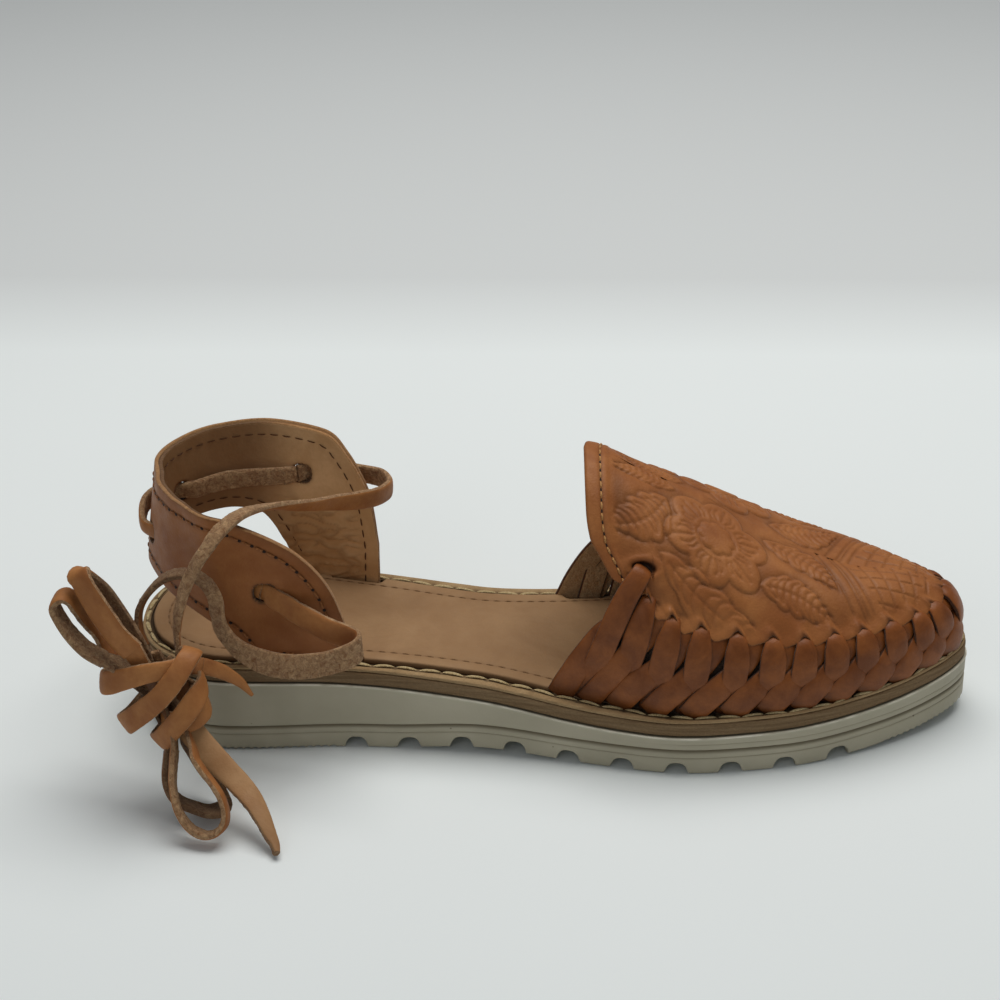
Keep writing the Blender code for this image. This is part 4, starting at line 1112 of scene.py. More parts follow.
# the three strips nearest the throat: arc, rise, distance out and width
REAR_STRIP = (
    (2.5, 0, -0.3, 8), (8, 0.1, 0.2, 8.2), (14.8, 0.2, -0.9, 8.2), (20, 0.26, -0.9, 8),
    (24.5, 0.32, -0.6, 7.4), (28.5, 0.4, -2.4, 6),
)
FIRST_FINGER = (
    (9.6, 0, -1.4, 8), (11.6, 0.06, -0.7, 8), (14.6, 0.14, 0.9, 7.8), (18.2, 0.24, 1.5, 7.6),
    (22.6, 0.36, 1.9, 7.2), (25.6, 0.43, 1.8, 6.6), (27.2, 0.468, 1.2, 6.2), (27.9, 0.484, -0.6, 6),
    (28.4, 0.494, -3.2, 5.6),
)
FIRST_CROSSING = (
    (11, 0, -0.2, 7.6), (16, 0.07, 0.9, 7.6), (21.7, 0.15, 1.1, 7.4), (27, 0.23, 0.2, 7.2),
    (31.5, 0.285, -0.8, 7), (35, 0.33, -0.7, 6.8), (38, 0.37, -2.4, 6),
)


def finger_rows(k):
    """A finger of the plait, from its end inside the vamp down to its foot."""
    return by_finger(((k, 1.12, -3.0, 3.4), (k, 1.05, -1.7, 4.2), (k, 0.99, 0.2, 4.8), (k, 0.91, 1.1, 6.0),
                      (k, 0.80, 1.35, 7.3), (k, 0.66, 1.4, 7.8), (k - 0.02, 0.46, 0.95, 7.7),
                      (k - 0.05, 0.3, 0.0, 7.4), (k - 0.1, 0.12, -1.2, 7.0), (k - 0.12, 0.0, -1.6, 7.0)))


def crossing_rows(k):
    """The strip that crosses from a finger's foot to under the vamp, further forwards."""
    return by_finger(((k - 0.05, 0.0, -0.3, 8.2), (k + 0.12, 0.12, 0.8, 8.3), (k + 0.38, 0.26, 1.1, 8.3),
                      (k + 0.68, 0.38, 0.6, 8.0), (k + 0.98, 0.50, -0.8, 7.6), (k + 1.22, 0.64, -0.7, 7.2),
                      (k + 1.45, 0.82, -0.3, 7.0), (k + 1.62, 0.93, -0.9, 6.6), (k + 1.78, 1.03, -2.6, 6.0)))


def plait(looks):
    heap = Heap()
    for side, first in zip(SHOE_SIDES, (0, 500)):
        for k in range(FINGERS):
            # the second pair gives the painted shade at a strip's two ends
            rows, ends = (finger_rows(k), (0.9, 0.7)) if k else (FIRST_FINGER, (0.7, 0.9))
            plait_strip(heap, side, rows, first + 10 * k, ends)
        for k in range(FINGERS - 1):
            rows = crossing_rows(k) if k else FIRST_CROSSING
            plait_strip(heap, side, rows, first + 10 * k + 5, (0.5, 0.9))
        plait_strip(heap, side, REAR_STRIP, first + 7, (0.4, 0.9))
    own = [looks["strip"], looks["strip_edge"], looks["upper_flesh"]]
    heap.piece("plait_strips", own, "plaited_wall", ["plaited_wall"], 60.0)


def plait_back(looks):
    """The flesh side behind the strips, with painted shade where it shows between them."""
    share = np.linspace(0, 1, 81)
    rows = []
    for part in np.linspace(0, 1, 9):
        rear = float(curve(PLAIT_REAR, "up", "reach", part))
        sides = []
        for side, later in zip(SHOE_SIDES, BACK_LATER):
            reach = rear + later + (1 - rear - later) * share
            sides.append(upper_frame(side, reach, (lace_rise(reach) + BACK_HIGHER) * part))
        rows.append([np.vstack([sides[0][i], sides[1][i][-2::-1]]) for i in (0, 1)])
    point, out = (np.array([row[i] for row in rows]) for i in (0, 1))
    outer, inner = (point - out * depth for depth in BACK_FACES)
    loop = np.concatenate([outer, inner[::-1], outer[:1]])
    dark = np.repeat(BACK_PAINTED_SHADE, (len(point), len(point), 1))[:, None]
    heap = Heap()
    heap.add(loop, grid_faces(len(loop), point.shape[1]), crease=np.broadcast_to(dark, loop.shape[:2]))
    heap.piece("plait_backing", [looks["upper_flesh"]], "plaited_wall", (), 60.0)


# ---------------------------------------------------------------- vamp

VAMP_COLUMNS = 300
VAMP_FINE_ROWS = 138
FOLD_ROUND = 0.95
THROAT_LINE = 4.0
THROAT_PITCH = 3.3
TOOL_DEEP = 0.50
TOOL_RAISED = 0.22
LINE_STEP = 0.25

# the tooling: how steeply it rises inside a line and fades outside it, how far it acts, and its ends in x
TOOL_WALL = 0.40
TOOL_SLOPE = 1.1
TOOL_MARGIN = 7.0
TOOL_FROM, TOOL_TO = 12.0, 122.0
TOOL_SHIFT = 2.5

# depth and width of a cut line and of a vein stroke
CUT_MARK = (0.34, 0.50)
VEIN_MARK = (0.36, 0.52)

FLOWER = (50.0, -17.0)
FLOWER_RADIUS = 16.0
FLOWER_TURN = 0.3
PETALS = 6
PETAL_POINTS = 180
HEART_RADIUS = 5.6
HEART_LOBES = 8
LEAF_POINTS = 46
VEIN_STEP = 4

# start, end, width, bend and lobes of each leaf of the tooling, as x and chord from the crest
LEAVES = (
    ((35.5, -9.0), (17.0, -26.0), 12.0, 3.5, 0.22), ((33.0, -28.0), (70.0, -41.0), 11.5, -5.0, 0.25),
    ((64.5, -6.0), (87.0, -16.5), 10.5, 3.0, 0.20), ((38.0, -3.5), (18.0, -5.0), 7.0, -1.5, 0.15),
    ((63.0, -25.0), (86.0, -27.5), 10.0, 2.5, 0.2),
)

# the slit that each side's first strip goes through
SLIT = {"arc": 28.2, "rise": 0.495, "half_wide": 4.0, "half_tall": 1.9, "deep": 1.7, "tilt": 0.1}


def edge_rise(reach):
    """Rise of the vamp's scalloped lower edge, with a notch over each finger of the plait."""
    arc = reach * PLAIT_LENGTH
    number = np.interp(arc, FINGER["top"], FINGER["number"])
    share = curve(SCALLOP, "part", "share", number - np.floor(number))
    plain = np.interp(arc, (19.0, 24.0, 27.0, 29.5), (0.41, 0.40, 0.395, 0.4104))
    return np.where(number < 1, plain, share * finger("rise", number))


def edge_lift(reach):
    """How far the vamp's lower edge stands out over the strips that pass under it."""
    number = np.interp(reach * PLAIT_LENGTH, FINGER["top"], FINGER["number"])
    part = number - np.floor(number)
    tall = 0.75 + 0.50 * bell(part - 0.86, 0.12) + 0.35 * bell(part - 0.14, 0.10)
    return np.where(number < 0.5, 0.2, tall)


def vamp_rows(rows, columns):
    """Grid of the vamp's outer face: edge to crest, and round the toe from lateral to medial rear."""
    share = np.linspace(0, 1, columns + 1)
    made, reaches = [], []
    for part in np.linspace(0, 1, rows + 1):
        start = float(curve(VAMP_REAR, "up", "reach", part))
        reach = start + (1 - start) * share
        rise = edge_rise(reach) * (1 - part) + part
        lateral, medial = (section_point(side, reach, rise) for side in SHOE_SIDES)
        made.append(np.vstack([lateral, medial[-2::-1]]))
        reaches.append(np.concatenate([reach, reach[-2::-1]]))
    return np.array(made), np.array(reaches)


def vamp_ways(points, rows, columns):
    """The way out at each point of the vamp's grid, made even along its crest and round its tip."""
    out = grid_normals(points)
    out[-1] = unit(out[-1] + out[-1][::-1])
    middle = points.shape[1] // 2
    tip = slice(middle - columns, middle + columns + 1)
    out[-rows:, tip] = unit(out[-rows - 1, tip].mean(axis=0))
    return out


def grid_normals(points):
    """The way out of a grid of points at each of them."""
    along = np.gradient(points, axis=1)
    up = np.gradient(points, axis=0)
    out = np.cross(along, up)
    size = np.linalg.norm(out, axis=2, keepdims=True)
    return out / np.maximum(size, 1e-9)


def sampled(lines):
    """Points at small even steps along each of some lines, all in one list."""
    return np.vstack([at_lengths(line, np.arange(0, measured(line)[-1], LINE_STEP)) for line in lines])


def closed_line(points):
    """A closed line with points at small even steps."""
    points = looped(points)
    length = measured(points)[-1]
    return at_lengths(points, np.linspace(0, length, max(8, int(length / LINE_STEP)))[:-1])


def nearest(places, samples):
    """Distance from each place to the nearest sample of a set of lines."""
    tree = KDTree(len(samples))
    for number, (x, s) in enumerate(samples):
        tree.insert((x, s, 0.0), number)
    tree.balance()
    return np.array([tree.find((x, s, 0.0))[2] for x, s in places])


def inside(places, line):
    """Whether each place lies inside a closed line."""
    after = np.roll(line, -1, axis=0)
    x, s = places[:, :1], places[:, 1:]
    crossing = (line[:, 1] > s) != (after[:, 1] > s)
    rise = np.where(after[:, 1] == line[:, 1], 1.0, after[:, 1] - line[:, 1])
    at = line[:, 0] + (s - line[:, 1]) * (after[:, 0] - line[:, 0]) / rise
    return (crossing & (x < at)).sum(axis=1) % 2 == 1


def petal_line(centre, radius, petals, depth, turn):
    """A flower's outline, with rounded petals cut a share of its radius deep."""
    angle = circle(PETAL_POINTS)
    size = radius * (1 - depth + depth * np.abs(np.cos(petals * (angle - turn) / 2)) ** 0.7)
    return np.column_stack([centre[0] + size * np.cos(angle), centre[1] + size * np.sin(angle)])


def leaf_line(start, end, wide, bend, lobes):
    """A leaf between two places, with a bent middle line and lobed edges."""
    start, end = np.asarray(start, float), np.asarray(end, float)
    share = np.linspace(0, 1, LEAF_POINTS)
    ahead = end - start
    side = np.array((-ahead[1], ahead[0])) / np.linalg.norm(ahead)
    middle = start + ahead * share[:, None] + side * (bend * np.sin(math.pi * share))[:, None]
    half = wide / 2 * np.sin(math.pi * share ** 0.8) * (1 + lobes * np.abs(np.sin(5 * math.pi * share)))
    line = np.vstack([middle + side * half[:, None], (middle - side * half[:, None])[::-1]])
    return line, middle, side, half


def stroke(start, end, bow):
    """A line between two places, bowed sideways by a share of its length."""
    start, end = np.asarray(start, float), np.asarray(end, float)
    share = np.linspace(0, 1, 14)[:, None]
    side = np.array((-(end - start)[1], (end - start)[0]))
    return start + (end - start) * share + side * bow * np.sin(math.pi * share)


def pattern():
    """A plain traditional floral tooling for one side: closed shapes, cut lines and short vein strokes."""
    centre = np.array(FLOWER)
    shapes = [closed_line(petal_line(centre, FLOWER_RADIUS, PETALS, 0.26, FLOWER_TURN)),
              closed_line(petal_line(centre, HEART_RADIUS, HEART_LOBES, 0.16, 0.0))]
    cuts, veins = [], []
    for number in range(PETALS):
        angle = FLOWER_TURN + number * 2 * math.pi / PETALS
        for turn in (-0.36, -0.18, 0.0, 0.18, 0.36):
            way = np.array((math.cos(angle + turn), math.sin(angle + turn)))
            reach = 13.4 - 8 * abs(turn)
            veins.append(stroke(centre + way * 7.4, centre + way * reach, 0.18 * np.sign(turn)))
    for leaf in LEAVES:
        line, middle, side, half = leaf_line(*leaf)
        shapes.append(closed_line(line))
        cuts.append(middle[4:-5])
        for index in range(6, LEAF_POINTS - 4, VEIN_STEP):
            ahead = middle[index + VEIN_STEP] - middle[index]
            for way in (-1, 1):
                near = middle[index] + side * way * 0.6
                far = middle[index] + side * way * half[index] * 0.82 + ahead * 0.9
                veins.append(stroke(near, far, 0.16 * way))
    for shift in (0.0, 3.4, 4.6):
        cuts.append(stroke((80.0 + shift, 3.0), (96.0 + shift, -33.0), 0.0))
    for n in range(6):
        cuts.append(stroke((88.0 + 5.4 * n, 1.0), (98.5 + 3.2 * n, -24.0 + 2.2 * n), 0.0))
        cuts.append(stroke((89.0 + 2.6 * n, -4.6 * n), (112.0 + 0.6 * n, -4.6 * n + 3.0), 0.0))
    border = np.column_stack([np.linspace(22, 84, 60), -40.5 - 3.2 * np.sin(np.linspace(0, math.pi, 60))])
    cuts.append(border)
    veins += [stroke(here + (0.2, -0.6), here + (1.3, -2.6), 0.25) for here in border[::2]]
    return shapes, cuts, veins


def tooling(x, chord):
    """Height of the pressed pattern at each place, from x and the signed chord from the crest."""
    height = np.zeros(x.shape)
    shapes, cuts, veins = pattern()
    samples = ((sampled(cuts), *CUT_MARK), (sampled(veins), *VEIN_MARK))
    for way in (-1, 1):
        here = (chord * -way >= 0) & (x > TOOL_FROM) & (x < TOOL_TO)
        places = np.column_stack([x[here], -np.abs(chord[here])])
        # the medial side is a mirror image, moved a little forwards, as a hand-tooled pair would be
        places[:, 0] -= TOOL_SHIFT if way == -1 else 0.0
        total = np.zeros(len(places))
        for line in shapes:
            low, high = line.min(axis=0) - TOOL_MARGIN, line.max(axis=0) + TOOL_MARGIN
            near = np.all((places > low) & (places < high), axis=1)
            if near.any():
                away = nearest(places[near], line)
                total[near] += np.where(inside(places[near], line),
                                        TOOL_RAISED - (TOOL_DEEP + TOOL_RAISED) * np.exp(-away / TOOL_WALL),
                                        -TOOL_DEEP * np.exp(-away / TOOL_SLOPE))
        for points, deep, wide in samples:
            total -= deep * bell(nearest(places, points), wide)
        height[here] = total
    return height


# soft creases of the vamp: x and chord of the start and end, half width, and depth, which is negative on a
# ridge
CREASES = (
    ((17, -6), (24, -30), 3.5, 0.55), ((14, 10), (22, 30), 3.5, 0.5), ((20, -34), (40, -44), 4, 0.45),
    ((28, -40), (34, -50), 2.6, 0.4), ((24, -14), (32, 4), 4, -0.4), ((16, -38), (30, -34), 3, -0.35),
    ((84, -30), (110, -20), 5, 0.35),
)


def hand_creases(x, chord):
    """Height of the soft creases at each place, from x and the signed chord from the crest."""
    height = np.zeros(x.shape)
    for start, end, half, depth in CREASES:
        start, end = np.array(start), np.array(end)
        ahead = end - start
        share = np.clip(((x - start[0]) * ahead[0] + (chord - start[1]) * ahead[1]) / (ahead @ ahead), 0, 1)
        away = np.hypot(x - start[0] - ahead[0] * share, chord - start[1] - ahead[1] * share)
        height -= depth * bell(away, half) * np.sin(math.pi * np.clip(share, 0.08, 0.92))
    return height


def crest_chord(points):
    """How far each point of the vamp's grid lies from the crest, negative on the lateral side."""
    x = points[..., 0]
    crest_x = np.clip(x, THROAT_X, APEX_X)
    sideways = points[..., 1] - curve(CREST, "x", "y", crest_x) - outline_shift()
    chord = np.hypot(sideways, points[..., 2] - curve(CREST, "x", "z", crest_x))
    chord *= np.where(np.arange(points.shape[1]) <= VAMP_COLUMNS, -1, 1)
    far = smooth(x, 92, 100)
    return chord * (1 - far) + sideways * 1.15 * far


def slits(points, height, crease):
    """The relief with the slit that each side's first strip goes through, and the painted shade inside it."""
    for side in SHOE_SIDES:
        slit, _ = upper_frame(side, np.array([SLIT["arc"] / PLAIT_LENGTH]), np.array([SLIT["rise"]]))
        away = points - slit[0]
        tilted = away[..., 2] + SLIT["tilt"] * away[..., 0]
        across = np.hypot(away[..., 0] / SLIT["half_wide"], tilted / SLIT["half_tall"])
        near = np.abs(away[..., 1]) < 8
        dent = SLIT["deep"] * (1 - smooth(across, 0.5, 1.05)) - 0.35 * bell(across - 1.35, 0.3)
        height = height - dent * near
        crease = crease + (1 - smooth(across, 0.6, 1.1)) * near
    return height, crease


def vamp_relief(points, reach):
    """Height of the leather's relief over the vamp's grid, and its painted shade: in the notches of the lower
    edge, along the stitch line, in the slits and in the tooled lines.
    """
    x, chord = points[..., 0], crest_chord(points)
    from_rear = np.array([np.minimum(measured(row), measured(row[::-1])[::-1]) for row in points])
    from_edge = np.array([measured(column) for column in points.transpose(1, 0, 2)]).T
    fade = smooth(from_edge, 2.5, 6.0) * smooth(from_rear, 6.5, 10.0)
    height = tooling(x, chord) * fade
    height += hand_creases(x, chord) * smooth(from_edge, 0.5, 4.0)
    height += edge_lift(reach) * bell(from_edge, 2.6)
    height += 0.35 * (1 - smooth(from_rear, 5.6, 7.2))
    height -= 0.30 * bell(from_rear - THROAT_LINE, 0.7)
    height += waves(points, (0.16, 11.0, 41), (0.05, 3.4, 42))
    number = np.interp(reach * PLAIT_LENGTH, FINGER["top"], FINGER["number"])
    notch = bell(number - np.round(number), 0.16) * (number > 0.6)
    # painted shade under the notches of the lower edge and along the stitch line
    crease = 0.7 * notch * bell(from_edge, 1.6) + 0.35 * bell(from_rear - THROAT_LINE, 0.6)
    height, crease = slits(points, height, crease)
    return height, np.clip(crease + 0.35 * np.clip(-height / TOOL_DEEP, 0, 1) * fade, 0, 1)


def vamp_stitches(looks, points, out):
    """The row of stitches beside each side's topline, with dark marks of painted shade at the holes that its
    thread goes through.
    """
    heap = Heap()
    for grid, ways in ((points, out), (points[:, ::-1], out[:, ::-1])):
        line = np.array([at_lengths(row, [THROAT_LINE])[0] for row in grid[:, :30]])
        marks = ((heap, 0.45, -0.65, 0.62, 0.5, 0), (heap, -0.75, 0.4, 0.6, 0.12, 1))
        seam(line, ways[:, 8], THROAT_PITCH, *marks)
    heap.piece("vamp_stitches", [looks["cream_thread"], looks["stitch_hole_shade"]], "vamp")


def vamp(looks):
    points, reach = vamp_rows(VAMP_FINE_ROWS, VAMP_COLUMNS)
    out = vamp_ways(points, 3, 8)
    height, crease = vamp_relief(points, reach)
    points = points + out * height[..., None]
    vamp_stitches(looks, points, out)
    points, crease = fold_rear(points, out, crease)
    points, crease, kinds = cut_edge(points, crease)
    heap = Heap()
    heap.add(points, grid_faces(*points.shape[:2]), kinds, crease)
    weld(heap.piece("vamp_shell", [looks["vamp"], looks["vamp_edge"]], "vamp", ["vamp"], 70.0))
    vamp_inside(looks)


def fold_rear(points, out, crease):
    """The sheet with its rear edges rolled round to the inside."""
    for _ in range(2):
        back = -unit(points[:, 1] - points[:, 0])
        ways = out[:, 0]
        turned = [points[:, 0] + back * math.sin(a) * FOLD_ROUND + ways * (math.cos(a) - 1) * FOLD_ROUND
                  for a in np.linspace(0, math.pi, 7)[1:]]
        under = [points[:, j] - out[:, j] * 2 * FOLD_ROUND for j in (5, 12)]
        added = np.stack((turned + under)[::-1], axis=1)
        points = np.concatenate([added, points], axis=1)[:, ::-1]
        out = np.concatenate([np.repeat(out[:, :1], added.shape[1], axis=1), out], axis=1)[:, ::-1]
        # faint painted shade inside the rolled edge
        crease = np.concatenate([np.zeros(added.shape[:2]) + 0.1, crease], axis=1)[:, ::-1]
    return points, crease


# the cut edge's section: down from the sheet's lower edge and in from its face, and its rows' painted shade
CUT_PROFILE = ((0.22, 0.10), (0.34, 0.45), (0.34, 1.1), (0.2, 1.6), (-0.3, 1.85))
CUT_UNDER = 2.7
CUT_SHADE = (0.9, 0.7, 0.45, 0.2, 0.05, 0.0)


def cut_edge(points, crease):
    """The sheet with its lower edge turned to show the cut leather, and the material of each face."""
    out = grid_normals(points)[0]
    down = -unit(points[1] - points[0])
    turned = [points[0] + down * reach - out * deep for reach, deep in CUT_PROFILE]
    # the deepest row draws in near the vamp's rear corners
    from_end = np.minimum(np.arange(points.shape[1]), np.arange(points.shape[1])[::-1])
    turned.append(turned[-1] - down * (CUT_UNDER * smooth(from_end, 40, 64))[:, None])
    points = np.concatenate([turned[::-1], points])
    # painted shade on the turned edge, deepest where it goes under
    shade = np.array(CUT_SHADE)[:, None] + crease[:1] * 0.8
    crease = np.clip(np.concatenate([shade, crease]), 0, 1)
    kinds = np.zeros((points.shape[0] - 1, points.shape[1] - 1), int)
    kinds[:len(turned)] = 1
    return points, crease, kinds.ravel()


def vamp_inside(looks):
    """The flesh side of the vamp, seen through the throat."""
    points, _ = vamp_rows(24, 60)
    points = (points - vamp_ways(points, 2, 4) * 2.0)[:, 1:-1]
    heap = Heap()
    # faint painted shade on the inside of the vamp
    heap.add(points, grid_faces(*points.shape[:2], flip=True), crease=0.2)
    weld(heap.piece("vamp_flesh", [looks["upper_flesh"]], "vamp"))


# ---------------------------------------------------------------- heel band

BAND_FINE = 280
BAND_UP = 64
SHEET = 1.28
VISUAL_HOLE = 0.60
HOLE_SHAPE = 2.6
BAND_STITCH = 4.0
UPPER_SEAM = 4.0
LOWER_SEAM = 3.4

# a slab's rounded edge: share of the way through it, and how far it bulges there
SLAB_EDGE = ((0.07, 0.14), (0.25, 0.26), (0.5, 0.30), (0.75, 0.26), (0.93, 0.14))


def band_edges(share):
    """Places and heights of the band's lower and upper edge, at shares of its rows."""
    row = {"row": np.arange(len(BAND["low_at"])), **BAND}
    keys = ("low_at", "low_z", "top_at", "top_z")
    low_at, low_z, top_at, top_z = (curve(row, "row", key, share) for key in keys)
    seat = seat_height(np.interp(low_at, HEEL_AT, HEEL_LINE[:, 0])) + GAP
    return low_at, np.maximum(low_z, seat), top_at, top_z


def band_grid(top_more=0.0):
    """Places, heights, faces and painted shade of a grid over the band, open at its lace holes and shaded
    round them.
    """
    share = np.linspace(0, len(BAND["low_at"]) - 1, BAND_FINE + 1)
    low_at, low_z, top_at, top_z = band_edges(share)
    part = np.linspace(0, 1, BAND_UP + 1)[:, None]
    at = (low_at + (top_at - low_at) * part).ravel()
    z = (low_z + (top_z + top_more - low_z) * part).ravel()
    faces = grid_faces(BAND_UP + 1, BAND_FINE + 1, flip=True)
    keep = np.ones(len(faces), bool)
    darkness = np.zeros(len(at))
    for hole_at, hole_z, wide, tall in zip(*(HOLES[key] for key in ("at", "z", "wide", "tall"))):
        half_wide, half_tall = VISUAL_HOLE * wide / 2, VISUAL_HOLE * tall / 2
        u, w = (at - hole_at) / half_wide, (z - hole_z) / half_tall
        size = (np.abs(u) ** HOLE_SHAPE + np.abs(w) ** HOLE_SHAPE) ** (1 / HOLE_SHAPE)
        held = size[faces].mean(axis=1) < 1
        rim = np.intersect1d(faces[held & keep], faces[~held & keep])
        keep &= ~held
        at[rim] = hole_at + u[rim] / size[rim] * half_wide
        z[rim] = hole_z + w[rim] / size[rim] * half_tall
        # painted shade round each lace hole
        darkness = np.maximum(darkness, 0.8 * np.exp(-np.clip(size - 1, 0, 9) / 0.10))
    return at, z, faces[keep], darkness


def slab(heap, outer, inner, faces, crease, kinds):
    """A closed sheet between two faces of equal points, with rounded edges.

    Its kinds are those of the outer face, the inner face and the edges."""
    used = np.unique(faces)
    faces = np.searchsorted(used, faces)
    outer, inner, crease = outer[used], inner[used], crease[used]
    count = len(used)
    centre = outer[faces].mean(axis=1)
    pull, weight = np.zeros((count, 3)), np.zeros(count)
    for corner in faces.T:
        np.add.at(pull, corner, centre)
        np.add.at(weight, corner, 1)
    away = outer - pull / weight[:, None]
    through = unit(inner - outer)
    away -= through * (away * through).sum(axis=1, keepdims=True)
    away = away / np.maximum(np.linalg.norm(away, axis=1, keepdims=True), 1e-9)
    edges = dict.fromkeys((face[i], face[(i + 1) % 4]) for face in faces.tolist() for i in range(4))
    a, b = np.array([edge for edge in edges if (edge[1], edge[0]) not in edges]).T
    rim = np.unique((a, b))
    points, layers = [outer, inner], [np.arange(count)]
    for number, (share, bulge) in enumerate(SLAB_EDGE):
        points.append(outer[rim] + (inner[rim] - outer[rim]) * share + away[rim] * bulge)
        layers.append(2 * count + number * len(rim) + np.searchsorted(rim, np.arange(count)))
    near, after = np.array(layers), np.array(layers[1:] + [count + np.arange(count)])
    edge = np.stack([near[:, b], near[:, a], after[:, a], after[:, b]], axis=-1)
    edge = edge.transpose(1, 0, 2).reshape(-1, 4)
    heap.add(np.vstack(points), np.vstack([faces, faces[:, ::-1] + count, edge]),
             np.repeat(kinds, (len(faces), len(faces), len(edge))),
             np.concatenate([crease, crease, *[crease[rim]] * len(SLAB_EDGE)]))


def edge_path(points, inset):
    """A line of places kept inside a line of edge places by a distance, on its right-hand side."""
    ahead = np.gradient(points, axis=0)
    ahead /= np.linalg.norm(ahead, axis=1)[:, None]
    return points + np.column_stack([ahead[:, 1], -ahead[:, 0]]) * inset


def band_outline():
    """The band's free edge over the top and down both wings, and its lower edge between the feet."""
    share = np.linspace(0, len(BAND["low_at"]) - 1, 200)
    low_at, low_z, top_at, top_z = band_edges(share)
    low, top = np.column_stack([low_at, low_z]), np.column_stack([top_at, top_z])
    upper = np.vstack([np.linspace(low[0], top[0], 12)[:-1], top, np.linspace(top[-1], low[-1], 12)[1:]])
    lower = low[::-1]
    lower = lower[(lower[:, 0] > -67) & (lower[:, 0] < 58)]
    return [at_lengths(line, np.linspace(0, measured(line)[-1], count))
            for line, count in ((upper, 240), (lower, 160))]


def band_stitches(looks):
    threads, holes, dashes = Heap(), Heap(), Heap()
    # the holes heap holds painted shade: dark marks where the thread goes into the leather
    outside = ((threads, 0.3, -1.0, 0.70, 0.42, 0), (holes, -0.7, 0.4, 0.95, 0.10, 0))
    within = ((dashes, 0.3, -1.0, 0.45, 0.30, 0),)
    for line, inset in zip(band_outline(), (UPPER_SEAM, LOWER_SEAM)):
        at, z = edge_path(line, inset).T
        for face, way, marks in ((0.02, 1, outside), (-BAND_WALL - 0.12, -1, within)):
            path = band_point(at, z, face)
            seam(path, unit(band_point(at, z, face + way) - path), BAND_STITCH, *marks)
    threads.piece("band_stitches", [looks["tan_thread"]], "heel_band")
    holes.piece("band_stitch_hole_shade", [looks["stitch_hole_shade"]], "heel_band")
    dashes.piece("lining_stitches", [looks["lining_thread"]], "heel_band")


def band_outer(looks):
    """The band's outer leather, drawn in along its seams."""
    at, z, faces, dark = band_grid()
    base = band_point(at, z)
    wave = waves(base, (0.22, 16.0, 71), (0.05, 4.0, 72))
    outer, inner = band_point(at, z, wave), band_point(at, z, wave * 0.5 - SHEET)
    upper, lower = band_outline()
    places = np.column_stack([at, z])
    seams = np.minimum(nearest(places, edge_path(upper, UPPER_SEAM)),
                       nearest(places, edge_path(lower, LOWER_SEAM)))
    outer -= unit(outer - inner) * (0.22 * bell(seams, 0.8))[:, None]
    rim = np.minimum(nearest(places, upper), nearest(places, lower))
    # painted shade round the holes, in the seams and near the edges
    crease = np.clip(dark + 0.30 * bell(seams, 0.7) + 0.25 * np.exp(-rim / 1.2), 0, 1)
    heap = Heap()
    slab(heap, outer, inner, faces, crease, (0, 1, 2))
    own = [looks["band"], looks["lining"], looks["band_edge"]]
    heap.piece("band_outer", own, "heel_band", ["heel_band"], 60.0)


def band_lining(looks):
    """The band's lining, with painted shade round the heel, and finely creased in the medial wing."""
    at, z, faces, dark = band_grid(-0.5)
    base = band_point(at, z)
    outer = band_point(at, z, -SHEET - 0.06)
    folds = smooth(at, 50, 58) * smooth(-at, -82, -78) * smooth(-z, -62, -52)
    flat = np.column_stack([at, z, z * 0])
    bent = z + waves(flat, (1.2, 7.0, 81), (0.4, 2.6, 82))
    furrow = np.zeros(len(at))
    for size, seed in ((9.0, 85), (7.0, 86)):
        field = lumps(np.column_stack([at, bent * size / 2.3, z * 0]), size, seed)
        furrow = np.maximum(furrow, bell(field, 0.20))
    dent = 0.50 * folds * (0.5 - furrow) + waves(base, (0.14, 12.0, 83), (0.05, 3.0, 84))
    inner = band_point(at, z, -BAND_WALL + dent - 0.22 * folds)
    # painted shade: the lining is darker round the back of the heel, and in the furrows of the medial wing
    painted_back_shade = 0.68 * (1 - smooth(np.abs(at + 2.0), 46, 66))
    crease = np.clip(dark + painted_back_shade + 0.34 * folds * furrow, 0, 1)
    heap = Heap()
    slab(heap, outer, inner, faces, crease, (0, 0, 1))
    heap.piece("band_lining", [looks["lining"], looks["band_edge"]], "heel_band", (), 60.0)


# ---------------------------------------------------------------- ankle tie

ROUTE_STEPS = 8
STRAND_STEP = 0.6
STRAND_LEAST = 8
FUZZ = 0.20
GRAIN_CROWN = 0.18
TUCK = 4
CORE_THICK = 1.6
WRAP_THICK = 1.8
# painted shade in the middle of each strand of the knot's core
CORE_PAINTED_SHADE = 0.6
EVEN = ((0, 1), (0, 0))


def even_line(route):
    """The smooth curve through a route's points, as evenly spaced middle points and facings."""
    rows = round_off(np.asarray(route, float), ROUTE_STEPS)
    along = measured(rows[:, :3])
    at = np.linspace(0, along[-1], max(STRAND_LEAST, int(round(along[-1] / STRAND_STEP))) + 1)
    rows = np.column_stack([np.interp(at, along, rows[:, i]) for i in range(6)])
    return rows[:, :3], rows[:, 3:]


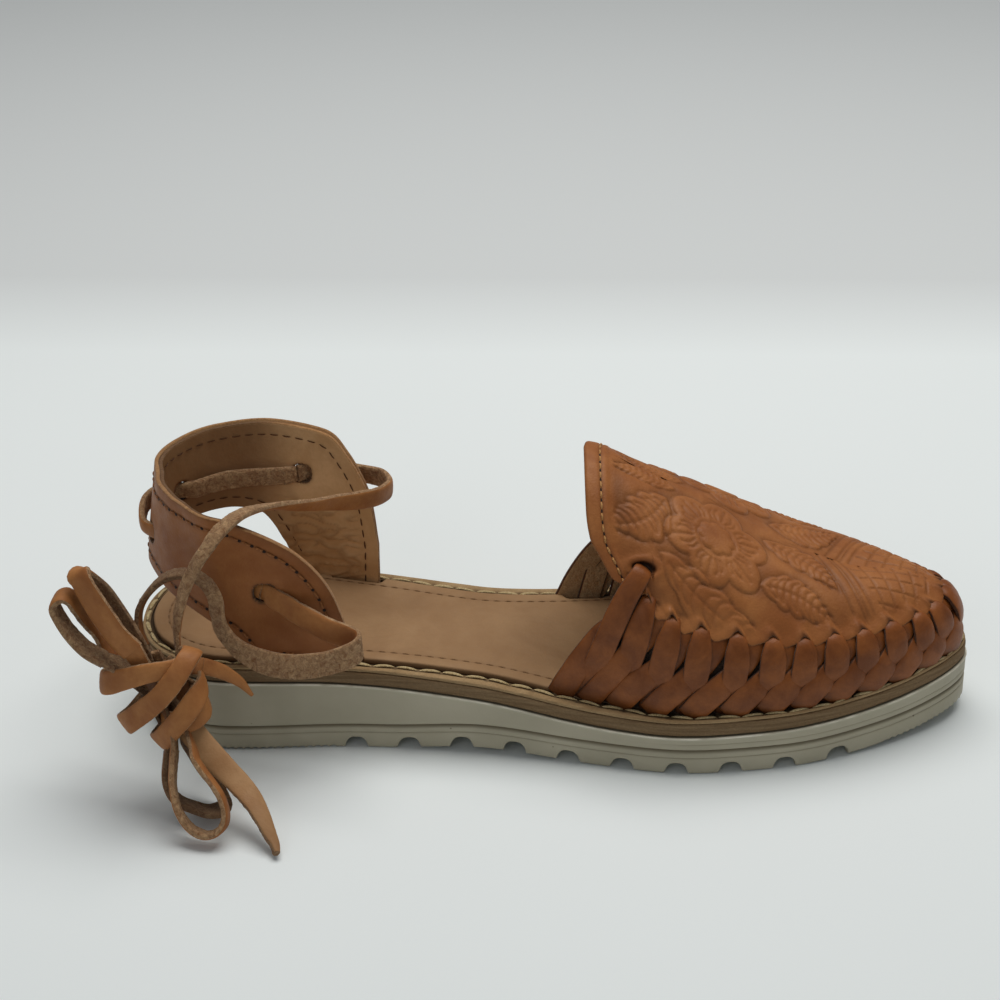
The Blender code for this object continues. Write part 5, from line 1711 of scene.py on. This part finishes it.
def lace(heap, route, seed, wide, thick=LACE_THICK, crease=EVEN):
    """One flat strand of the tie, with a wavering cut edge and a fuzzy flesh side.

    Its widths and its painted shade are each given as shares of its length and the values there."""
    middle, facing = even_line(route)
    across, face = frames(middle, facing)
    share = np.linspace(0, 1, len(middle))
    width = np.interp(share, *wide) * (1 + 0.045 * lumps(middle, 8.0, seed))
    rings = sweep(middle, across, face, width, thick * (1 + 0.08 * lumps(middle, 5.0, seed + 1)), GRAIN_CROWN)
    rough = np.clip(0.55 - np.sin(circle()) * 1.5, 0.06, 1)[None, :, None]
    away = unit(rings - middle[:, None])
    fuzz = waves(rings, (0.6, 1.1, seed + 2), (0.6, 0.55, seed + 3))
    rings = rings + away * rough * FUZZ * fuzz[..., None]
    shade = np.broadcast_to(np.interp(share, *crease)[:, None], rings.shape[:2])
    heap.add(rings, tube_faces(len(rings)), strip_kinds(len(rings)), shade)
    return middle


# where the free runs come out of the band's front holes: place round the heel, height, distance out
LATERAL_START = ((-57.4, 52.6, -2.6), (-59.0, 52.4, -1.2), (-61.2, 51.3, 0.6), (-64.0, 49.9, 1.5))
MEDIAL_START = ((60.6, 65.0, -2.6), (62.0, 65.0, -1.2), (64.4, 65.0, 0.6), (67.2, 64.9, 1.5))

# ways that the lateral run's smooth side faces from its thirteenth point on, where it twists over
LATERAL_TWIST = (
    (0.35, 0.95, 0), (0.5, 0.85, 0), (-0.2, 0.95, -0.2), (-0.5, 0.6, -0.6), (0, 0.3, -1), (0.5, 0.1, -0.85),
    (0.8, 0, -0.5), (1, 0, -0.1), (1, 0, 0.1), (0.9, 0, 0.3),
)

# name, real length, far end, lay, look, and shares of the length with the widths there
STRANDS = (
    ("tie_run_lateral", 133.0, "knot", "loose", "lace", ((0, 0.04, 0.2, 0.5, 0.58, 0.66, 0.74, 0.8, 1),
                                                         (5.8, 6.6, 7.5, 7.5, 5.6, 4.8, 4.2, 3.8, 4.2))),
    ("tie_run_medial", 146.0, "knot", "loose", "lace", ((0, 0.07, 0.35, 0.5, 0.65, 0.8, 1),
                                                         (5.8, 6.4, 6.8, 4.9, 5.3, 4.3, 3.0))),
    ("tie_loop_long", 58.0, "knot", "loose", "lace", ((0, 1), (7.5, 7.5))),
    ("tie_loop_short", 58.0, "knot", "loose", "lace", ((0, 1), (7.3, 7.3))),
    ("tie_loop_thin", 57.0, "knot", "hanging", "lace", ((0, 0.5, 1), (5.6, 4.8, 5.4))),
    ("tie_loop_dark", 51.0, "knot", "hanging", "lace", ((0, 0.45, 0.6, 0.85, 1), (8.0, 7.0, 9.5, 9.5, 8.0))),
    ("tie_tail_long", 47.0, "bare", "hanging", "pale_lace", ((0, 0.3, 0.6, 0.85, 1),
                                                             (7.4, 7.3, 6.6, 4.4, 1.8))),
)
# darker stretches of a strand: painted shade
SHADED = {
    "tie_run_lateral": ((0, 0.70, 0.77, 1), (0, 0, 0.5, 0.5)),
    "tie_loop_long": ((0, 0.5, 0.56, 1), (0, 0, 0.4, 0.4)),
    "tie_loop_short": ((0, 0.3, 1), (0.3, 0.1, 0.3)),
    "tie_loop_dark": ((0, 1), (0.5, 0.5)),
    "tie_tail_long": ((0, 0.5, 1), (0, 0.1, 0.4)),
}
ROUTES = {
    "tie_loop_long": LOOP_LONG, "tie_loop_short": LOOP_SHORT, "tie_loop_thin": LOOP_THIN,
    "tie_loop_dark": LOOP_DARK, "tie_tail_long": TAIL_LONG,
}

# the wraps of the knot, and the strands that pass through it: points and facings as in the routes
WRAPS = (
    ((-111, -53, 43.5, 0, 1, 0.2), (-119, -53.5, 41, -0.1, 1, 0.2), (-125.5, -55.5, 39, -0.6, 0.8, 0),
     (-128, -58.5, 39, -1, -0.1, 0.1), (-126, -62, 40.5, -0.5, -0.9, 0.3),
     (-120, -64.5, 43.5, -0.1, -1, 0.3), (-113.5, -65.5, 46, 0.1, -1, 0.3),
     (-107, -64.5, 47, 0.3, -0.9, 0.4), (-103.5, -61, 46.5, 0.8, -0.5, 0.4)),
    ((-107, -53, 42, 0.1, 1, -0.3), (-114, -53.5, 33, -0.1, 1, -0.3), (-120, -56, 26.5, -0.5, 0.8, -0.4),
     (-122.5, -60, 25.5, -0.8, -0.1, -0.6), (-120.5, -64, 28.5, -0.5, -0.9, 0.1),
     (-115.5, -66.5, 33.5, -0.3, -1, 0.3), (-109.5, -68, 39.5, -0.2, -1, 0.4),
     (-105, -67, 45, 0, -0.9, 0.5), (-102, -63.5, 49, 0.3, -0.5, 0.8), (-101, -58.5, 49.5, 0.3, 0.4, 0.9),
     (-103.5, -54.5, 46.5, 0.2, 0.9, 0.3)),
    ((-102, -54, 35.5, 0.2, 1, -0.2), (-106.5, -54.5, 28, 0, 1, -0.4),
     (-110.5, -57.5, 22.5, -0.4, 0.7, -0.6), (-112.5, -62, 21, -0.7, -0.2, -0.7),
     (-110.5, -66, 24, -0.4, -0.9, 0.1), (-107, -68.5, 29, -0.2, -1, 0.3), (-103, -69, 34, 0, -1, 0.4),
     (-99.8, -66.5, 38, 0.4, -0.8, 0.4), (-98.3, -62, 39.5, 0.9, -0.3, 0.3),
     (-99, -57.5, 39, 0.7, 0.7, 0.1)),
    ((-98.3, -58.5, 32, 0.9, 0.4, 0.2), (-98, -62.5, 32.2, 0.9, -0.3, 0.2),
     (-100.5, -66, 31.6, 0.5, -0.8, 0.3), (-104.5, -67.2, 30.6, 0.1, -1, 0.3),
     (-108.5, -65.5, 29.5, -0.4, -0.9, 0.3), (-111, -61.5, 28.5, -0.9, -0.3, 0.1)),
)
WRAP_WIDE = ((7.0, 7.0, 4.6), (6.8, 7.0, 6.0), (6.6, 6.8, 6.4), (6.6, 6.8, 6.6))
CORE = (
    ((-117.5, -61.5, 51, -0.3, -0.9, 0.3), (-114, -61.5, 43, -0.5, -0.8, 0.2),
     (-110, -63.5, 34, -0.8, -0.5, 0), (-107, -67, 27, -1, -0.1, 0), (-106.5, -69, 22.5, -1, 0, 0)),
    ((-118.5, -54, 49.5, 0.3, 0.9, 0.2), (-116, -56.5, 40, -0.3, 0.9, 0), (-112, -60, 30, -0.9, 0.2, 0),
     (-110, -62.5, 23.5, -1, -0.1, 0), (-110, -64, 18.5, -1, -0.2, -0.1)),
    ((-107, -50.5, 51.5, 0.9, 0.5, -0.1), (-106.5, -53.5, 43.5, 0.8, 0.1, 0.1),
     (-105, -58.5, 34.5, 0.6, -0.5, 0.3), (-103, -63, 25.5, 0.4, -0.8, 0.4)),
    ((-126, -61.5, 48, -0.5, 0, -0.8), (-120, -59.5, 43, -0.6, 0.3, -0.6), (-111, -58.5, 34, -0.4, 0.8, 0),
     (-104.5, -60, 24, 0.3, 0.9, 0.2), (-104, -59.5, 16.5, 0.5, 0.8, 0.3)),
    ((-127.5, -47.5, 40, 0.8, 0, 0.6), (-121, -51, 38, 0.4, 0.4, 0.8), (-112, -55, 38.5, 0.1, 0.6, 0.8),
     (-104.5, -54.5, 41, 0.2, -0.2, 0.9), (-100, -53, 41, 0.3, -0.8, 0.6)),
    ((-117, -49.5, 45.5, -0.9, 0.1, -0.3), (-113, -54, 40, -0.7, 0.5, -0.2), (-106, -62, 31, 0.4, 0.8, 0.3),
     (-101, -70, 25, 0.7, 0.5, 0.5), (-99.5, -74, 22.5, 0.8, 0.3, 0.5)),
)


# widths and painted shade at the two ends of each strand of the core, as on the free strands that they meet
CORE_ENDS = (
    (7.5, 5.6, 0, 0), (7.5, 8, 0.4, 0.5), (3, 7.4, 0, 0), (7.3, 8, 0.3, 0.5), (7.3, 5.2, 0.3, 0),
    (4.2, 5.4, 0.5, 0),
)


def band_route(rows):
    """Route points from places round the heel band, facing out from it."""
    at, z, out = np.asarray(rows, float).T
    middle = band_point(at, z, out)
    return np.column_stack([middle, band_point(at, z, out + 1) - middle])


def tie_routes():
    lateral = np.array(LATERAL_RUN)
    lateral[-len(LATERAL_TWIST):, 3:] = LATERAL_TWIST
    return {"tie_run_lateral": np.vstack([band_route(LATERAL_START), lateral]),
            "tie_run_medial": np.vstack([band_route(MEDIAL_START), MEDIAL_RUN]), **ROUTES}


def tucked_in(route, routes):
    """A strand of the core, begun and ended a little inside the free strands that it meets."""
    route = np.asarray(route, float)
    first, last = [], []
    for strand in routes:
        middle, facing = even_line(strand)
        for end, inside in ((0, TUCK), (-1, -1 - TUCK)):
            point = np.concatenate([middle[inside], facing[inside]])
            if math.dist(middle[end], route[0, :3]) < 1.0:
                first = [point]
            elif math.dist(middle[end], route[-1, :3]) < 1.0:
                last = [point]
    return np.vstack([*first, route, *last])


def tie_knot(looks, routes):
    heap = Heap()
    for number, (route, (first, last, dark_first, dark_last)) in enumerate(zip(CORE, CORE_ENDS)):
        dark = (dark_first, dark_first, CORE_PAINTED_SHADE, CORE_PAINTED_SHADE, dark_last, dark_last)
        lace(heap, tucked_in(route, routes), 30 + number, ((0, 1), (first - 0.4, last - 0.4)), CORE_THICK,
             ((0, 0.12, 0.35, 0.65, 0.9, 1), dark))
    for number, (route, wide) in enumerate(zip(WRAPS, WRAP_WIDE)):
        lace(heap, route, 50 + number, ((0, 0.5, 1), wide), WRAP_THICK)
    return heap.piece("lace_knot", looks, "ankle_tie", ["tie_knot"])


def tie_threaded(looks):
    """The middle of the tie, in and out through the four holes of the heel band."""
    rows = np.column_stack([np.asarray(THREAD[key], float) for key in ("at", "z", "out")])
    rows = round_off(rows, 5)
    rows = rows[(rows[:, 0] > LATERAL_START[0][0]) & (rows[:, 0] < MEDIAL_START[0][0])]
    share = measured(rows)
    share = share / share[-1]
    away = np.min([np.abs(rows[:, 0] - hole) for hole in HOLES["at"]], axis=0)
    heap = Heap()
    lace(heap, band_route(rows)[::3], 11, (share, 6.0 - 1.2 * bell(away, 3.0)))
    return heap.piece("lace_threaded", looks, "ankle_tie", ["tie_threaded"])


def ankle_tie(looks):
    routes = tie_routes()
    pair = (looks["lace"], looks["flesh"])
    tie_threaded(pair)
    knot = tie_knot(pair, [*routes.values(), TAIL_SHORT])
    heap = Heap()
    lace(heap, TAIL_SHORT, 21, ((0, 0.35, 0.7, 1), (5.2, 4.6, 3.2, 1.2)))
    short_tail = heap.piece("lace_tail_short", pair, "ankle_tie", ["tie_tail_short"])
    for number, (name, length, far_end, lay, look, wide) in enumerate(STRANDS):
        heap = Heap()
        middle = lace(heap, routes[name], 60 + 5 * number, wide, crease=SHADED.get(name, EVEN))
        piece = heap.piece(name.replace("tie", "lace"), (looks[look], looks["flesh"]), "ankle_tie", [name])


# ---------------------------------------------------------------- assembly


def main():
    bpy.context.scene.view_settings.view_transform = "Standard"
    camera()
    lights()
    backdrop()
    looks = materials()
    outsole(looks)
    midsole(looks)
    welt(looks)
    insole(looks)
    plait_back(looks)
    plait(looks)
    vamp(looks)
    band_outer(looks)
    band_lining(looks)
    band_stitches(looks)
    ankle_tie(looks)


main()
